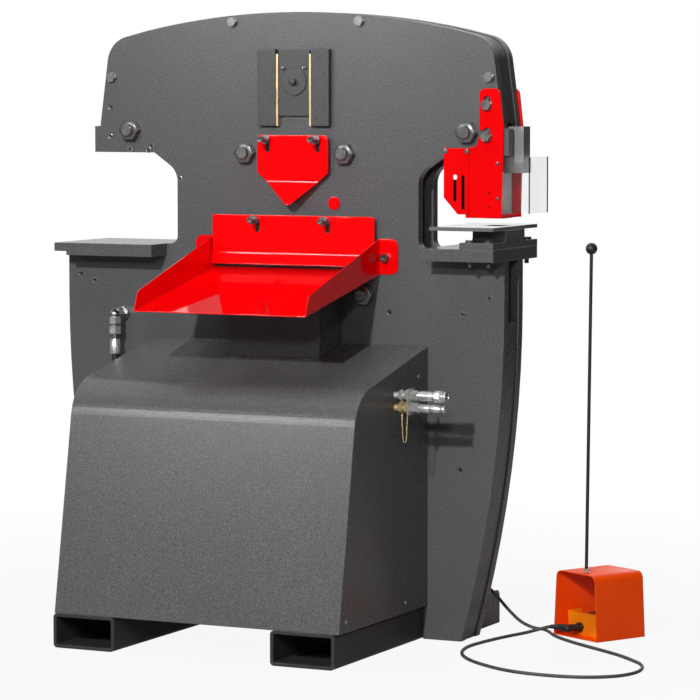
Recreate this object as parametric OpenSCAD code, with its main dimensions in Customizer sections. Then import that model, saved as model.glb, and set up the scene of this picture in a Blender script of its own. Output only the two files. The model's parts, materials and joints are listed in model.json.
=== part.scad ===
// Hydraulic ironworker: a twin-plate frame with a guided ram between the plates,
// an angle shear and a bar shear in the middle, a punch table on the left, a notcher
// on the right, a covered power unit in front and a foot pedal on a cord.
// X runs along the frame, Y from the power unit to the back, Z up from the floor.

/* [Frame] */
// Height of the frame
frame_h = 1866; // [1840:1:1900]
// Thickness of each frame plate
plate_t = 31.75; // [28:0.25:36]
// Clear gap between the frame plates
plate_gap = 76.2; // [72:0.1:84]
// Radius of the head's top edge
head_r = 2450; // [2200:10:2800]
// Half width of the head at its shoulders
head_shoulder = 640; // [630:1:650]
// Half width of the head at its foot
head_half_w = 675; // [668:1:682]
// Radius of the head's corners
head_corner_r = 85; // [60:1:100]
// Half width of the jaw ends
jaw_half_w = 694; // [688:1:700]
// Height of the step above the jaw ends
jaw_step_z = 1521; // [1510:1:1530]
// Underside of the upper jaws
jaw_z = 1441; // [1436:1:1446]
// Where the jaws turn into the throats
jaw_turn_x = 485; // [475:1:495]
// Half width of the waist between the throats
throat_x = 405; // [398:1:412]
// Height at which the throats begin to widen
throat_turn_z = 1385; // [1375:1:1395]
// Radius at the top of the throats
throat_top_r = 60; // [40:1:80]
// Radius in the floor corner of the throats
throat_low_r = 25; // [15:1:30]
// Reach of the lower frame on the punch side
left_reach = 790; // [780:1:800]
// Reach of the lower frame on the notcher side
right_reach = 682; // [676:1:690]
// Radius of the flanks below the tables
flank_r = 3750; // [3400:10:4200]
// Height at which the flanks begin to curve in
flank_z = 1000; // [950:1:1050]
// Height of the side webs
web_h = 950; // [850:1:980]
// Thickness of the side webs
web_t = 20; // [12:1:30]
// Thickness of the head's cover strip
strip_t = 6; // [4:0.5:8]

/* [Ram and drive] */
// Working stroke of the ram
stroke = 44; // [36:1:46]
// Thickness of the ram plate
ram_t = 50; // [44:1:54]
// Half width of the ram below its arms
ram_body = 330; // [315:1:345]
// Underside of the ram
ram_low_z = 985; // [980:1:990]
// Height of the slide pin
slide_z = 1657; // [1650:1:1664]
// Radius of the slide pin
pin_r = 30; // [24:0.5:34]
// Half width of the slide blocks
slide_half_w = 51.7; // [48:0.1:54]
// Length of the slide blocks
slide_len = 197; // [185:1:205]
// Width of each gib
gib_w = 59; // [50:1:66]
// Length of the gibs
gib_len = 230; // [220:1:240]
// How far the gibs stand out of the frame
gib_proud = 19; // [15:0.5:24]
// Width of the brass liners
liner_w = 8; // [6:0.5:10]
// Outer radius of the cylinder barrel
barrel_r = 140; // [132:1:145]
// Bore radius of the cylinder
bore_r = 116; // [108:1:120]
// Bottom of the cylinder barrel
barrel_z = 480; // [470:1:500]
// Length of the cylinder barrel
barrel_len = 450; // [430:1:455]
// Radius of the piston rod
rod_r = 35; // [30:0.5:37]
// Radius of the guide studs
stud_r = 19; // [16:0.5:21]
// Width across the flats of the guide nuts
stud_nut_af = 57; // [50:1:62]

/* [Shears] */
// Height of the fixed bar blade's edge
bar_z = 1120; // [1112:1:1124]
// Height of the bar opening at rest
bar_open = 36; // [30:1:40]
// Half width of the bar opening
bar_half_w = 240; // [225:1:248]
// Height of the middle of the angle opening
angle_z = 1392; // [1385:1:1398]
// Half diagonal of the angle opening
angle_half = 88; // [76:1:92]
// Width of the shear blades
blade_w = 28; // [22:1:32]

/* [Guards and tray] */
// Thickness of the guard sheets
guard_t = 3; // [2:0.5:4]
// Gap between the frame and the guards
guard_gap = 20; // [17:0.5:24]
// Half width of the V guard
v_half_w = 119; // [112:1:124]
// Top of the V guard
v_top_z = 1498; // [1492:1:1502]
// Where the V guard's sides end
v_side_z = 1386; // [1380:1:1392]
// Tip of the V guard
v_tip_z = 1284; // [1278:1:1290]
// Half width of the drop guard
drop_half_w = 272; // [260:1:272]
// Top of the drop guard
drop_top_z = 1257; // [1252:1:1262]
// Bottom of the drop guard
drop_low_z = 1108; // [1104:1:1112]
// How far the lift guards rise on their bolts
guard_lift = 32; // [16:1:34]
// Half width of the tray
tray_half_w = 280; // [275:1:284]
// Reach of the tray in front of the frame
tray_reach = 500; // [440:1:510]
// Height of the tray's floor at the frame
tray_back_z = 1098; // [1092:1:1100]
// Fall of the tray's floor
tray_fall = 106; // [95:1:118]
// Depth of the tray's side walls at the frame
tray_wall_h = 106; // [95:1:115]
// Depth of the tray's side walls at the front
tray_front_h = 56; // [45:1:65]

/* [Tables and notcher] */
// Top of the punch table
table_z = 1163; // [1158:1:1166]
// Thickness of the punch table
table_t = 26; // [22:1:30]
// Width of the tables across the frame
table_w = 334; // [310:1:350]
// Length of the punch table
table_len = 341; // [330:1:350]
// Underside of the notcher support bar
support_z = 1134; // [1130:1:1138]
// Thickness of the notcher support bar
support_t = 37; // [32:1:40]
// Length of the notcher support bar
support_len = 232; // [222:1:240]
// Thickness of the notcher die's base
die_base_t = 19; // [15:1:22]
// Length of the notcher die
die_len = 107; // [100:1:112]
// Height of the notcher die above its base
die_h = 34; // [28:1:38]
// Length of the notcher table plate
notch_table_len = 203; // [195:1:210]
// Thickness of the notcher table plate
notch_table_t = 11; // [9:0.5:13]
// Reach of the ram's notcher arm
notch_arm_x = 722; // [712:1:732]
// Width of the notch punch along the frame
punch_len = 62; // [56:1:64]
// Thickness of the notcher guards
notch_guard_t = 6; // [4:0.5:7]
// How far the notcher guards can be lowered
notch_drop = 16; // [10:1:18]
// Thickness of the clear shield
shield_t = 5; // [4:0.5:6]
// Reach of the clear shield
shield_x = 761; // [752:1:775]
// Height of the clear shield
shield_h = 164; // [150:1:165]

/* [Power unit] */
// Left end of the power unit's cover
cover_left = 492; // [480:1:500]
// Right end of the power unit's cover
cover_right = 436; // [428:1:444]
// Height of the cover where it meets the frame
cover_back_z = 875; // [865:1:885]
// Slope of the cover's top
cover_slope = 12.8; // [11:0.1:14]
// Lean of the cover's front
cover_lean = 10.1; // [9:0.1:11]
// Radius of the bend between top and front
cover_bend_r = 128; // [110:1:140]
// Reach of the cover's foot in front of the frame
cover_reach = 604; // [595:1:606]
// Thickness of the cover sheet
cover_t = 3; // [2:0.5:4]
// Width of the fork tubes
tube_w = 203.2; // [195:0.1:210]
// Height of the fork tubes
tube_h = 101.6; // [96:0.1:106]
// Wall of the fork tubes
tube_wall = 9.5; // [5:0.1:11]
// Reach of the fork tubes in front of the frame
tube_reach = 607; // [604:1:615]
// Middle of the left fork tube
tube_left_x = 393; // [388:1:396]
// Middle of the right fork tube
tube_right_x = 321; // [316:1:326]
// Half width of the cylinder housings
housing_half_w = 152; // [150:1:156]
// How far the cylinder housings stand out of the frame
housing_proud = 150; // [145:1:155]
// Top of the cylinder housings
housing_top_z = 1040; // [1030:1:1045]
// Radius of the motor
motor_r = 120; // [105:1:125]
// Length of the motor
motor_len = 270; // [240:1:280]

/* [Pedal] */
// Width of the pedal hood at the floor
hood_w = 200; // [180:1:210]
// Depth of the pedal hood
hood_d = 188; // [180:1:200]
// Height of the pedal hood
hood_h = 197; // [185:1:205]
// Thickness of the pedal hood
hood_t = 3; // [2:0.5:4]
// Radius of the hood's upper corners
hood_r = 22; // [16:1:28]
// How far each hood wall leans in
hood_lean = 12; // [8:1:14]
// Length of the handle rod
handle_len = 963; // [900:1:1000]
// Radius of the handle rod
handle_r = 5; // [4:0.5:6]
// Radius of the handle ball
ball_r = 17.5; // [14:0.5:20]
// Lean of the handle rod
handle_lean = 0.9; // [0:0.1:1.5]
// Diameter of the pedal's cord
cord_d = 10; // [9:0.5:10.5]
// Turn of the pedal on the floor
pedal_yaw = -28; // [-30:1:-26]
// Place of the pedal's front left corner along the frame
pedal_x = 741; // [738:1:744]
// Place of the pedal's front left corner behind the frame's middle
pedal_y = 181; // [179:1:183]

/* [Hidden] */
$fn = 64;
overrun = 1;
touch_clear = 0.3;
run_clear = 0.05;
hole_clear = 0.05;
arc_steps = 14;
flank_steps = 10;
top_steps = 24;

// The upper works are set out from the jaws up, and lifted together to the frame's height
head_h = 345;
head_z = jaw_step_z + head_h;
lift = frame_h - head_z;
floor_z = -lift;

// Frame levels
face_y = plate_gap / 2 + plate_t;
gap_y = plate_gap / 2;
flank_in = 4;
strip_in = 3;
jaw_turn_r = 8;
seat_left_z = table_z - table_t;
table_in = 5;
table_end_x = left_reach - table_in - table_len;
right_edge = 5;
right_end_x = right_reach + right_edge;
support_x = right_end_x - support_len;
corner_z = head_top(head_shoulder);
top_arc_share = 0.8;
top_arc_x = head_shoulder * top_arc_share;
strip_foot = 14;
strip_foot_z = jaw_step_z + strip_foot;

// Fasteners
tie_r = 8;
tie_head_af = 26;
tie_head_h = 10;
tie_washer_r = 16;
tie_washer_t = 3;
tie_high_x = 212;
tie_high_drop = 29;
tie_side_x = 632;
tie_side_z = 1670;
tie_high_z = head_z - tie_high_drop;
tie_places = [[tie_high_x, tie_high_z], [tie_side_x, tie_side_z]];
guide_out = [564, 1509];
guide_in = [166, 1443];
guide_low = [230, 1023];
guide_places = [guide_out, guide_in, guide_low];
stud_out = 38;
stud_nut_h = 24;
stud_washer_r = 36;
stud_washer_t = 3;
stud_chamfer = 3;

// Ram levels
ram_half = ram_t / 2;
arm_rise = 3;
arm_low_z = jaw_z + arm_rise;
arm_inner_x = 650;
arm_top_z = 1600;
arm_end_rise = 6;
arm_end_z = jaw_step_z + arm_end_rise;
arm_short = 4;
arm_left_x = jaw_half_w - arm_short;
hump_half_w = 110;
hump_drop = 11;
hump_top_z = slide_z + slide_len / 2 - hump_drop;
notch_arm_len = 122;
notch_arm_low = 50;
notch_x = notch_arm_x - notch_arm_len;
notch_low_z = jaw_z - notch_arm_low;
slot_room = 3;
slide_proud = 10;
slide_drop = 3.5;
slide_low_z = slide_z - slide_len / 2 - slide_drop;
cap_r = 41;
cap_t = 4;
cap_bolt_af = 19;
cap_bolt_h = 7;
nipple_r = 4;
nipple_h = 6;
nipple_x = 35;
nipple_rise = 41;
gib_x = slide_half_w + touch_clear + liner_w;
gib_drop = 30;
gib_low_z = slide_low_z - gib_drop;
liner_short = 14;
liner_proud = 15;
strap_w = 82;
bar_window_half = ram_body - strap_w;
bar_window_drop = 35;
blade_edge_z = bar_z + bar_open;
bar_blade_h = 50;
blade_back = ram_half + touch_clear;
piston_h = 60;
piston_z = 760;
barrel_floor = 30;
gland_h = 40;
barrel_top_z = barrel_z + barrel_len;
port_r = 14;
port_len = 18;
port_drop = 60;

// Guards
guard_back = face_y + guard_gap;
guard_front = guard_back + guard_t;
v_bolt_x = 84;
v_bolt_drop = 13;
v_bolt_stand = 15;
v_bolt_neck = 22;
v_bolt_z = v_top_z - v_bolt_drop;
v_corner_r = 14;
v_side_r = 12;
v_tip_r = 16;
v_bend_rise = 73;
v_bend_z = v_tip_z + v_bend_rise;
v_bend = 27;
drop_bolt_x = 118;
drop_bolt_drop = 14;
drop_bolt_stand = 30;
drop_bolt_neck = 8;
drop_bolt_z = drop_top_z - drop_bolt_drop;
drop_corner_r = 8;
drop_bend_rise = 33;
drop_bend_z = drop_low_z + drop_bend_rise;
drop_bend = 20;
guard_bend_r = 9;
gb_r = 6;
gb_collar_af = 22;
gb_washer_r = 14;
gb_washer_t = 3;
gb_neck_r = 8;
gb_head_r = 9;
gb_head_h = 14;
gb_socket_r = 5;
gb_socket_d = 7;
gb_depth = 22;
plug_x = 129;
plug_z = 1295;
plug_r = 20;
plug_t = 3;
ear_w = 60;
ear_r = 22;
ear_low = 12;
tray_back_y = -face_y;
tray_front_y = tray_back_y - tray_reach;
tray_front_z = tray_back_z - tray_fall;
tray_bolt_x = 299;
tray_bolt_z = 1135;
tray_bolt_r = 8;
tray_bolt_head_r = 13;
tray_bolt_head_h = 14;
tray_corner_r = 12;
tray_front_lean = 25;
plug_depth = 6;

// Tables and notcher
bar_under_t = 12;
bar_under_in = 42;
support_top_z = support_z + support_t;
die_x = right_end_x - die_len;
die_base_z = support_top_z + die_base_t;
die_top_z = die_base_z + die_h;
notch_table_z = die_top_z + notch_table_t;
notch_table_x = right_end_x - notch_table_len;
die_half_w = face_y;
die_foot_r = 14;
punch_in = 18;
punch_x = die_x + punch_in;
punch_clear = 0.3;
punch_half_w = 36;
sheet_room = 22;
punch_low_z = notch_table_z + sheet_room;
notch_bolt_x = 628;
notch_bolt_zs = [1590, 1498];
notch_bolt_r = 10;
notch_bolt_af = 28;
notch_bolt_h = 13;
notch_washer_r = 16;
notch_washer_t = 3;
guard_face = face_y + touch_clear;
ng_top_z = 1638;
ng_low_z = 1259;
ng_left_x = 603;
ng_top_right_x = 667;
ng_mid_x = 680;
ng_mid_z = 1522;
ng_right_x = 674;
ng_lap_x = 560;
ng_lap_z = 1462;
ng_hook_x = 598;
ng_hook_z = 1470;
ng_hook_r = 18;
ng_corner_r = 18;
ng_entry_rise = 8;
ng_hole_x = 635;
ng_hole_zs = [1333, 1291];
ng_hole_r = 3;
wing_t = 3;
wing_left_x = 491;
wing_right_x = 571;
wing_top_z = 1463;
wing_low_z = 1269;
wing_cut_x = 536;
wing_cut_z = 1318;
wing_slots = [[527, 1311, 1379], [553, 1288, 1379]];
wing_slot_r = 5;
wing_key_r = 7;
wing_screws = [[498, 1454], [566, 1454]];
screw_r = 4;
screw_head_r = 7;
screw_head_h = 4;
tie_strip_t = 6;
tie_strip_h = 12;
tie_strip_in = 4;
shield_in_x = 642;
shield_gap = 3;
shield_top_z = jaw_z - shield_gap;
shield_out_y = guard_face - touch_clear / 2;
shield_screw_x = 662;
shield_screw_zs = [1419, 1317];
notch_foot_bolt_r = 7;
notch_foot_bolt_h = 16;
notch_foot_bolt_in = 24;

// Power unit
cover_low_z = floor_z + tube_h;
cover_back_y = -face_y;
cover_foot_y = cover_back_y - cover_reach;
cover_notch_half = housing_half_w - cover_t;
base_t = 6;
base_in = 6;
base_z = tube_h + base_t;
tube_corner_r = 12;
tube_back_y = face_y;
tube_front_y = -face_y - tube_reach;
tube_clear = 0.2;
tie_floor_t = 25;
tie_gap = 6;
tank_left = 460;
tank_right = 50;
tank_front_y = -570;
tank_back_y = -180;
tank_h = 210;
tank_wall = 4;
tank_cap_r = 35;
tank_cap_h = 22;
tank_cap_x = 400;
tank_cap_y = -250;
motor_x = 120;
motor_y = -400;
motor_foot_h = 14;
motor_axis_z = base_z + motor_r + motor_foot_h;
motor_foot_w = 180;
motor_end_r = 95;
motor_end_t = 20;
motor_box = [110, 90, 60];
pump_r = 55;
pump_len = 90;
pump_flange_r = 85;
pump_flange_t = 14;
valve = [150, 100, 90];
valve_x = -300;
valve_y = -430;
coil_r = 24;
coil_len = 60;
hose_r = 10;
rear_housing_z = 450;
hose_sides = 10;
hose_steps = 3;

// Side elbow
elbow_x = -597;
elbow_z = 944;
elbow_out = 40;
elbow_port_r = 22;
elbow_port_t = 12;
elbow_hex_af = 34;
elbow_r = 13;
elbow_nut_h = 26;
elbow_ferrule_h = 62;
elbow_y = -face_y - elbow_port_t - elbow_out;
elbow_nut_z = elbow_z - elbow_hex_af;
elbow_low_z = elbow_nut_z - elbow_nut_h - elbow_ferrule_h;
side_hose_z = 560;

// Accessory couplers
coupler_y = -300;
coupler_z = 751;
coupler_pitch = 36;
coupler_low_z = coupler_z - coupler_pitch;
coupler_stand = 47;
coupler_plate_x = cover_right + coupler_stand;
coupler_plate_t = 6;
coupler_plate_w = 44;
coupler_plate_h = 76;
coupler_face_x = coupler_plate_x + coupler_plate_t;
nipple_pipe_r = 10;
nipple_af = 28;
nipple_nut_t = 13;
nipple_nut_gap = 5;
brass_af = 32;
socket_r = 12;
socket_depth = 34;
female_r = 15;
female_hex_af = 28;
female_hex_t = 22;
female_len = 112;
sleeve_r = 18;
sleeve_len = 30;
sleeve_in = 8;
male_hex_t = 26;
male_r = 13.5;
male_nose_r = 11.8;
male_nose_len = 27;
male_len = 108;
wire_r = 2;
wire_drop = 88;
wire_half_w = (nipple_nut_t + nipple_nut_gap) / 2;
wire_steps = 20;
wire_sides = 8;

// Back of the machine
foot_w = 100;
foot_len = 242;
foot_t = 32;
foot_wall_t = 14;
foot_wall_h = 102;
foot_wall_r = 20;
foot_right_x = 508;
foot_left_x = -616;
anchor_r = 11;
anchor_in = 60;
box_left = 225;
box_right = 505;
box_deep = 160;
box_low_z = 262;
box_h = 378;
box_wall = 3;
box_back_y = face_y + box_deep;
button_r = 11;
button_out = 7;
button_stem = 16;
button_flange_r = 13;
button_flange_t = 2;
mushroom_r = 20;
mushroom_t = 12;
start_x = 315;
stop_x = 405;
button_z = 540;
gland_x = 470;
gland_y = 165;
gland_af = 26;
gland_hex_h = 12;
gland_nose_r = 9;
gland_nose_h = 15;
gland_lip = 1;
shear_table_half_w = 300;
shear_table_reach = 180;
shear_table_t = 25;
gusset_t = 12;
gusset_h = 95;
gusset_x = 280;
gusset_short = 30;

// Pedal
pedal_base_in = 20;
pedal_base_front = 40;
pedal_base_back = 12;
pedal_block_h = 66;
pedal_block_d = 22;
pedal_pan_h = 25;
pedal_ear_w = 14;
pedal_ear_d = 20;
pedal_ear_h = 70;
treadle_pin_r = 4;
treadle_knuckle_r = 10;
treadle_t = 6;
treadle_pin_z = 56;
treadle_pin_gap = 12;
treadle_gap = 1;
treadle_short = 8;
treadle_rise = 4;
treadle_pin_y = pedal_base_front + pedal_block_d + treadle_pin_gap;
spring_wire_r = 1.25;
spring_coil_r = 11;
spring_turns = 4;
spring_back = 40;
spring_sides = 6;
spring_turn_steps = 8;
connector_in = 78;
connector_z = 28;
connector_r = 11;
connector_reach = 52;
connector_hex_af = 26;
connector_hex_t = 9;
connector_side = 34;
handle_in = 42;
handle_nut_af = 17;
handle_nut_h = 9;
hood_floor_t = 3;

// Route of the pedal's cord: down from the gland, across the floor in one wide loop
// and up into the pedal's connector
connector_y = pedal_base_front - connector_reach;
connector_tip = pedal_point(connector_in - connector_side, connector_y);
cord_route = [
    [470, 165, 235], [470, 165, 205], [478, 166, 178], [498, 168, 155], [524, 172, 134],
    [556, 180, 102], [588, 192, 62], [622, 208, 26], [658, 220, 8], [692, 218, 5.2],
    [724, 184, 5.2], [760, 133, 5.2], [805, 85, 5.2], [860, 38, 5.2], [930, -15, 5.2],
    [1000, -65, 5.2], [1065, -115, 5.2], [1125, -172, 5.2], [1172, -225, 5.2], [1202, -290, 5.2],
    [1208, -360, 5.2], [1186, -425, 5.2], [1138, -472, 5.2], [1075, -498, 5.2], [1000, -506, 5.2],
    [920, -498, 5.2], [845, -472, 5.2], [770, -425, 5.2], [705, -370, 5.2], [655, -305, 5.2],
    [625, -235, 5.2], [612, -160, 5.2], [618, -80, 5.2], [632, 0, 5.2], [650, 70, 5.5],
    [672, 125, 7], [703, 157, 15], [735, 164, 24], [connector_tip.x, connector_tip.y, connector_z]];
cord_steps = 2;
cord_sides = 10;

// Outlines

function unit(v) = v / norm(v);

// Angle brought between minus and plus half a turn
function wrapped(angle) = let (half = 180) (angle + 3 * half) % (2 * half) - half;

// One rounded corner of an outline, as the points of its arc
function corner(before, at, after, r) =
    let (a = unit(before - at), b = unit(after - at), half = acos(a * b) / 2,
         middle = at + unit(a + b) * (r / sin(half)),
         from = at + a * (r / tan(half)) - middle, to = at + b * (r / tan(half)) - middle,
         start = atan2(from.y, from.x), turn = wrapped(atan2(to.y, to.x) - start))
    [for (k = [0:arc_steps]) middle + r * [cos(start + turn * k / arc_steps),
        sin(start + turn * k / arc_steps)]];

function flat(v) = [v[0], v[1]];

// Outline from corners given as x, y and corner radius
function rounded(v) = let (n = len(v)) [for (i = [0:n - 1])
    each v[i][2] == 0 ? [flat(v[i])]
        : corner(flat(v[(i + n - 1) % n]), flat(v[i]), flat(v[(i + 1) % n]), v[i][2])];

function reversed(v) = [for (i = [len(v) - 1:-1:0]) v[i]];

function mirrored(v) = [for (p = reversed(v)) [-p[0], p[1], p[2]]];

function head_top(x) = head_z - head_r + sqrt(head_r * head_r - x * x);

function head_side(z) = let (rise_share = (z - jaw_step_z) / (corner_z - jaw_step_z))
    head_half_w + (head_shoulder - head_half_w) * rise_share;

function flank(z) = let (fall = flank_z * (flank_z - z) / (flank_z - floor_z))
    flank_r - sqrt(flank_r * flank_r - fall * fall);

function flank_side(reach, side, inset, top) = [for (i = [0:flank_steps])
    let (z = floor_z + (top - floor_z) * i / flank_steps)
    [side * (reach - inset - flank(min(z, flank_z))), z, 0]];

function top_arc(inset) = [for (i = [0:top_steps])
    let (x = -top_arc_x + 2 * top_arc_x * i / top_steps) [x, head_top(x) - inset, 0]];

// Upper half of a plate's right side, from the throat's floor to the head's shoulder
function right_jaw() = [
    [throat_x, table_z, throat_low_r], [throat_x, throat_turn_z, throat_top_r],
    [jaw_turn_x, jaw_z, jaw_turn_r], [jaw_half_w, jaw_z, 0], [jaw_half_w, jaw_step_z, 0],
    [head_half_w, jaw_step_z, 0], [head_shoulder, corner_z, head_corner_r]];

frame_corners = concat(
    flank_side(left_reach, -1, 0, flank_z),
    [[-left_reach, seat_left_z, 0], [-table_end_x, seat_left_z, 0], [-table_end_x, table_z, 0]],
    reversed(mirrored(right_jaw())),
    top_arc(0),
    reversed(right_jaw()),
    [[support_x, table_z, 0], [support_x, support_z, 0], [right_reach, support_z, 0]],
    reversed(flank_side(right_reach, 1, 0, flank_z)));

function head_corners(inset, foot) = concat(
    [[-head_side(foot) + inset, foot, 0], [-head_shoulder + inset, corner_z - inset,
        head_corner_r - inset]],
    top_arc(inset),
    [[head_shoulder - inset, corner_z - inset, head_corner_r - inset], [head_side(foot) - inset, foot, 0]]);

// Placing

module raised() {
    translate([0, 0, lift]) children();
}

module in_face(y, t) {
    translate([0, y, 0]) rotate([90, 0, 0]) linear_extrude(height = t) children();
}

module in_side(x, t) {
    translate([x, 0, 0]) rotate([90, 0, 90]) linear_extrude(height = t) children();
}

module rod_x(y, z, r, x0, x1) {
    translate([x0, y, z]) rotate([0, 90, 0]) cylinder(r = r, h = x1 - x0);
}

module rod_y(x, z, r, y0, y1) {
    translate([x, y1, z]) rotate([90, 0, 0]) cylinder(r = r, h = y1 - y0);
}

module hex_x(y, z, af, x0, x1) {
    translate([x0, y, z]) rotate([0, 90, 0]) cylinder(r = af / sqrt(3), h = x1 - x0, $fn = 6);
}

module hex_y(x, z, af, y0, y1) {
    translate([x, y1, z]) rotate([90, 0, 0]) cylinder(r = af / sqrt(3), h = y1 - y0, $fn = 6);
}

module block(low, high) {
    translate(low) cube(high - low);
}

module both_faces() {
    children();
    mirror([0, 1, 0]) children();
}

module both_sides() {
    children();
    mirror([1, 0, 0]) children();
}

module slot_shape(x, low, high, r) {
    translate([x, low]) circle(r = r);
    translate([x, high]) circle(r = r);
    translate([x - r, low]) square([2 * r, high - low]);
}

module rounded_box_shape(w, h, r) {
    translate([-w / 2, r]) square([w, h - 2 * r]);
    translate([-w / 2 + r, 0]) square([w - 2 * r, h]);
    for (x = [-w / 2 + r, w / 2 - r], y = [r, h - r]) translate([x, y]) circle(r = r);
}

module diamond(half) {
    polygon([[half, angle_z], [0, angle_z + half], [-half, angle_z], [0, angle_z - half]]);
}

module bar_shape(low, high) {
    translate([-bar_half_w, low]) square([2 * bar_half_w, high - low]);
}

module angle_blade_shape(up) {
    difference() {
        diamond(angle_half + blade_w);
        diamond(angle_half);
        translate([-2 * angle_half, up ? angle_z - 4 * angle_half : angle_z])
            square([4 * angle_half, 4 * angle_half]);
    }
}

// Swept tubes

function bend_point(a, b, c, d, t) = (2 * b + (c - a) * t + (2 * a - 5 * b + 4 * c - d) * t * t
    + (3 * b - a - 3 * c + d) * t * t * t) / 2;

// Points along a smooth curve through a route
function smooth(v, steps) = let (n = len(v)) concat([for (i = [0:n - 2], k = [0:steps - 1])
    bend_point(i == 0 ? 2 * v[0] - v[1] : v[i - 1], v[i], v[i + 1],
        i == n - 2 ? 2 * v[n - 1] - v[n - 2] : v[i + 2], k / steps)], [v[n - 1]]);

function heading(v, i) = unit(v[min(i + 1, len(v) - 1)] - v[max(i - 1, 0)]);

function square_to(last, ahead) = unit(last - ahead * (last * ahead));

// A frame across the path at each point, carried along without twist
function across(v, first) = [for (i = 0, a = square_to(first, heading(v, 0)); i < len(v);
    i = i + 1, a = i < len(v) ? square_to(a, heading(v, i)) : a) a];

module tube(v, r, sides, first = [0, 0, 1]) {
    n = len(v);
    side = across(v, first);
    rings = [for (i = [0:n - 1], k = [0:sides - 1]) let (turn = 360 * k / sides)
        v[i] + r * (cos(turn) * side[i] + sin(turn) * cross(heading(v, i), side[i]))];
    walls = [for (i = [0:n - 2], k = [0:sides - 1])
        let (a = i * sides + k, b = i * sides + (k + 1) % sides)
        each [[a, a + sides, b], [b, a + sides, b + sides]]];
    ends = [[for (k = [0:sides - 1]) k], [for (k = [sides - 1:-1:0]) (n - 1) * sides + k]];
    polyhedron(points = rings, faces = concat(walls, ends));
}

// Frame

module frame_windows() {
    slot_shape(0, slide_z - stroke, slide_z, pin_r + slot_room);
    diamond(angle_half);
    bar_shape(bar_z, blade_edge_z);
    translate([-barrel_r, barrel_z]) square([2 * barrel_r, barrel_len]);
    for (s = [-1, 1]) {
        for (p = guide_places) translate([s * p.x, p.y]) circle(r = stud_r + hole_clear);
        for (p = tie_places) translate([s * p.x, p.y]) circle(r = tie_r + hole_clear);
    }
    for (x = [-tube_left_x, tube_right_x]) translate([x - tube_w / 2 - tube_clear, floor_z - overrun])
        square([tube_w + 2 * tube_clear, tube_h + tube_clear + overrun]);
}

module plate_shape() {
    difference() {
        polygon(rounded(frame_corners));
        frame_windows();
    }
}

module front_plate() {
    color("dimgray") difference() {
        in_face(-gap_y, plate_t) plate_shape();
        both_sides() {
            rod_y(v_bolt_x, v_bolt_z, gb_r + hole_clear, -face_y - overrun, -face_y + gb_depth);
            rod_y(drop_bolt_x, drop_bolt_z, gb_r + hole_clear, -face_y - overrun, -face_y + gb_depth);
            rod_y(tray_bolt_x, tray_bolt_z, tray_bolt_r + hole_clear, -face_y - overrun,
                -face_y + gb_depth);
        }
        for (z = notch_bolt_zs)
            rod_y(notch_bolt_x, z, notch_bolt_r + hole_clear, -face_y - overrun, -face_y + gb_depth);
        rod_y(plug_x, plug_z, plug_r - plug_t, -face_y - overrun, -face_y + plug_depth + overrun);
    }
}

module rear_plate() {
    color("dimgray") difference() {
        in_face(face_y, plate_t) difference() {
            plate_shape();
            angle_blade_shape(false);
            bar_shape(bar_z - bar_blade_h, bar_z + overrun);
        }
        for (z = notch_bolt_zs)
            rod_y(notch_bolt_x, z, notch_bolt_r + hole_clear, face_y - gb_depth, face_y + overrun);
    }
}

module web_shape(reach, side) {
    outer = flank_side(reach, side, flank_in, web_h);
    inner = flank_side(reach, side, flank_in + web_t, web_h);
    polygon([for (p = concat(outer, reversed(inner))) flat(p)]);
}

module frame_webs() {
    color("dimgray") {
        in_face(gap_y, plate_gap) web_shape(left_reach, -1);
        in_face(gap_y, plate_gap) web_shape(right_reach, 1);
        block([-tube_left_x + tube_w / 2 + tie_gap, -gap_y, floor_z],
            [tube_right_x - tube_w / 2 - tie_gap, gap_y, floor_z + tie_floor_t]);
    }
}

module head_strip() {
    color("dimgray") in_face(gap_y, plate_gap) difference() {
        polygon(rounded(head_corners(strip_in, strip_foot_z)));
        polygon(rounded(head_corners(strip_in + strip_t, strip_foot_z - overrun)));
    }
}

module head_tie_bolts() {
    washer_y = face_y + tie_washer_t;
    color("silver") both_sides() for (p = tie_places) {
        rod_y(p.x, p.y, tie_washer_r, -washer_y, -face_y);
        hex_y(p.x, p.y, tie_head_af, -washer_y - tie_head_h, -washer_y);
        rod_y(p.x, p.y, tie_r, -washer_y, washer_y + tie_head_h);
        difference() {
            union() {
                rod_y(p.x, p.y, tie_washer_r, face_y, washer_y);
                hex_y(p.x, p.y, tie_head_af, washer_y, washer_y + tie_head_h);
            }
            rod_y(p.x, p.y, tie_r + hole_clear, face_y - overrun, washer_y + tie_head_h + overrun);
        }
    }
}

module guide_bolts() {
    tip_y = face_y + stud_out;
    color("silver") both_faces() both_sides() for (p = guide_places) {
        rod_y(p.x, p.y, stud_r, -tip_y + stud_chamfer, -blade_back);
        translate([p.x, -tip_y + stud_chamfer, p.y]) rotate([90, 0, 0])
            cylinder(r1 = stud_r, r2 = stud_r - stud_chamfer, h = stud_chamfer);
    }
}

module guide_nuts() {
    washer_y = face_y + stud_washer_t;
    color("silver") both_faces() both_sides() for (p = guide_places) difference() {
        union() {
            rod_y(p.x, p.y, stud_washer_r, -washer_y, -face_y);
            hex_y(p.x, p.y, stud_nut_af, -washer_y - stud_nut_h, -washer_y);
        }
        rod_y(p.x, p.y, stud_r + hole_clear, -washer_y - stud_nut_h - overrun, -face_y + overrun);
    }
}

// Ram

module gibs() {
    color("dimgray") both_faces() both_sides()
        block([gib_x, -face_y - gib_proud, gib_low_z], [gib_x + gib_w, -face_y, gib_low_z + gib_len]);
}

module gib_liners() {
    color("goldenrod") both_faces() both_sides()
        block([gib_x - liner_w, -face_y - liner_proud, gib_low_z],
            [gib_x, -face_y, gib_low_z + gib_len - liner_short]);
}

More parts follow.
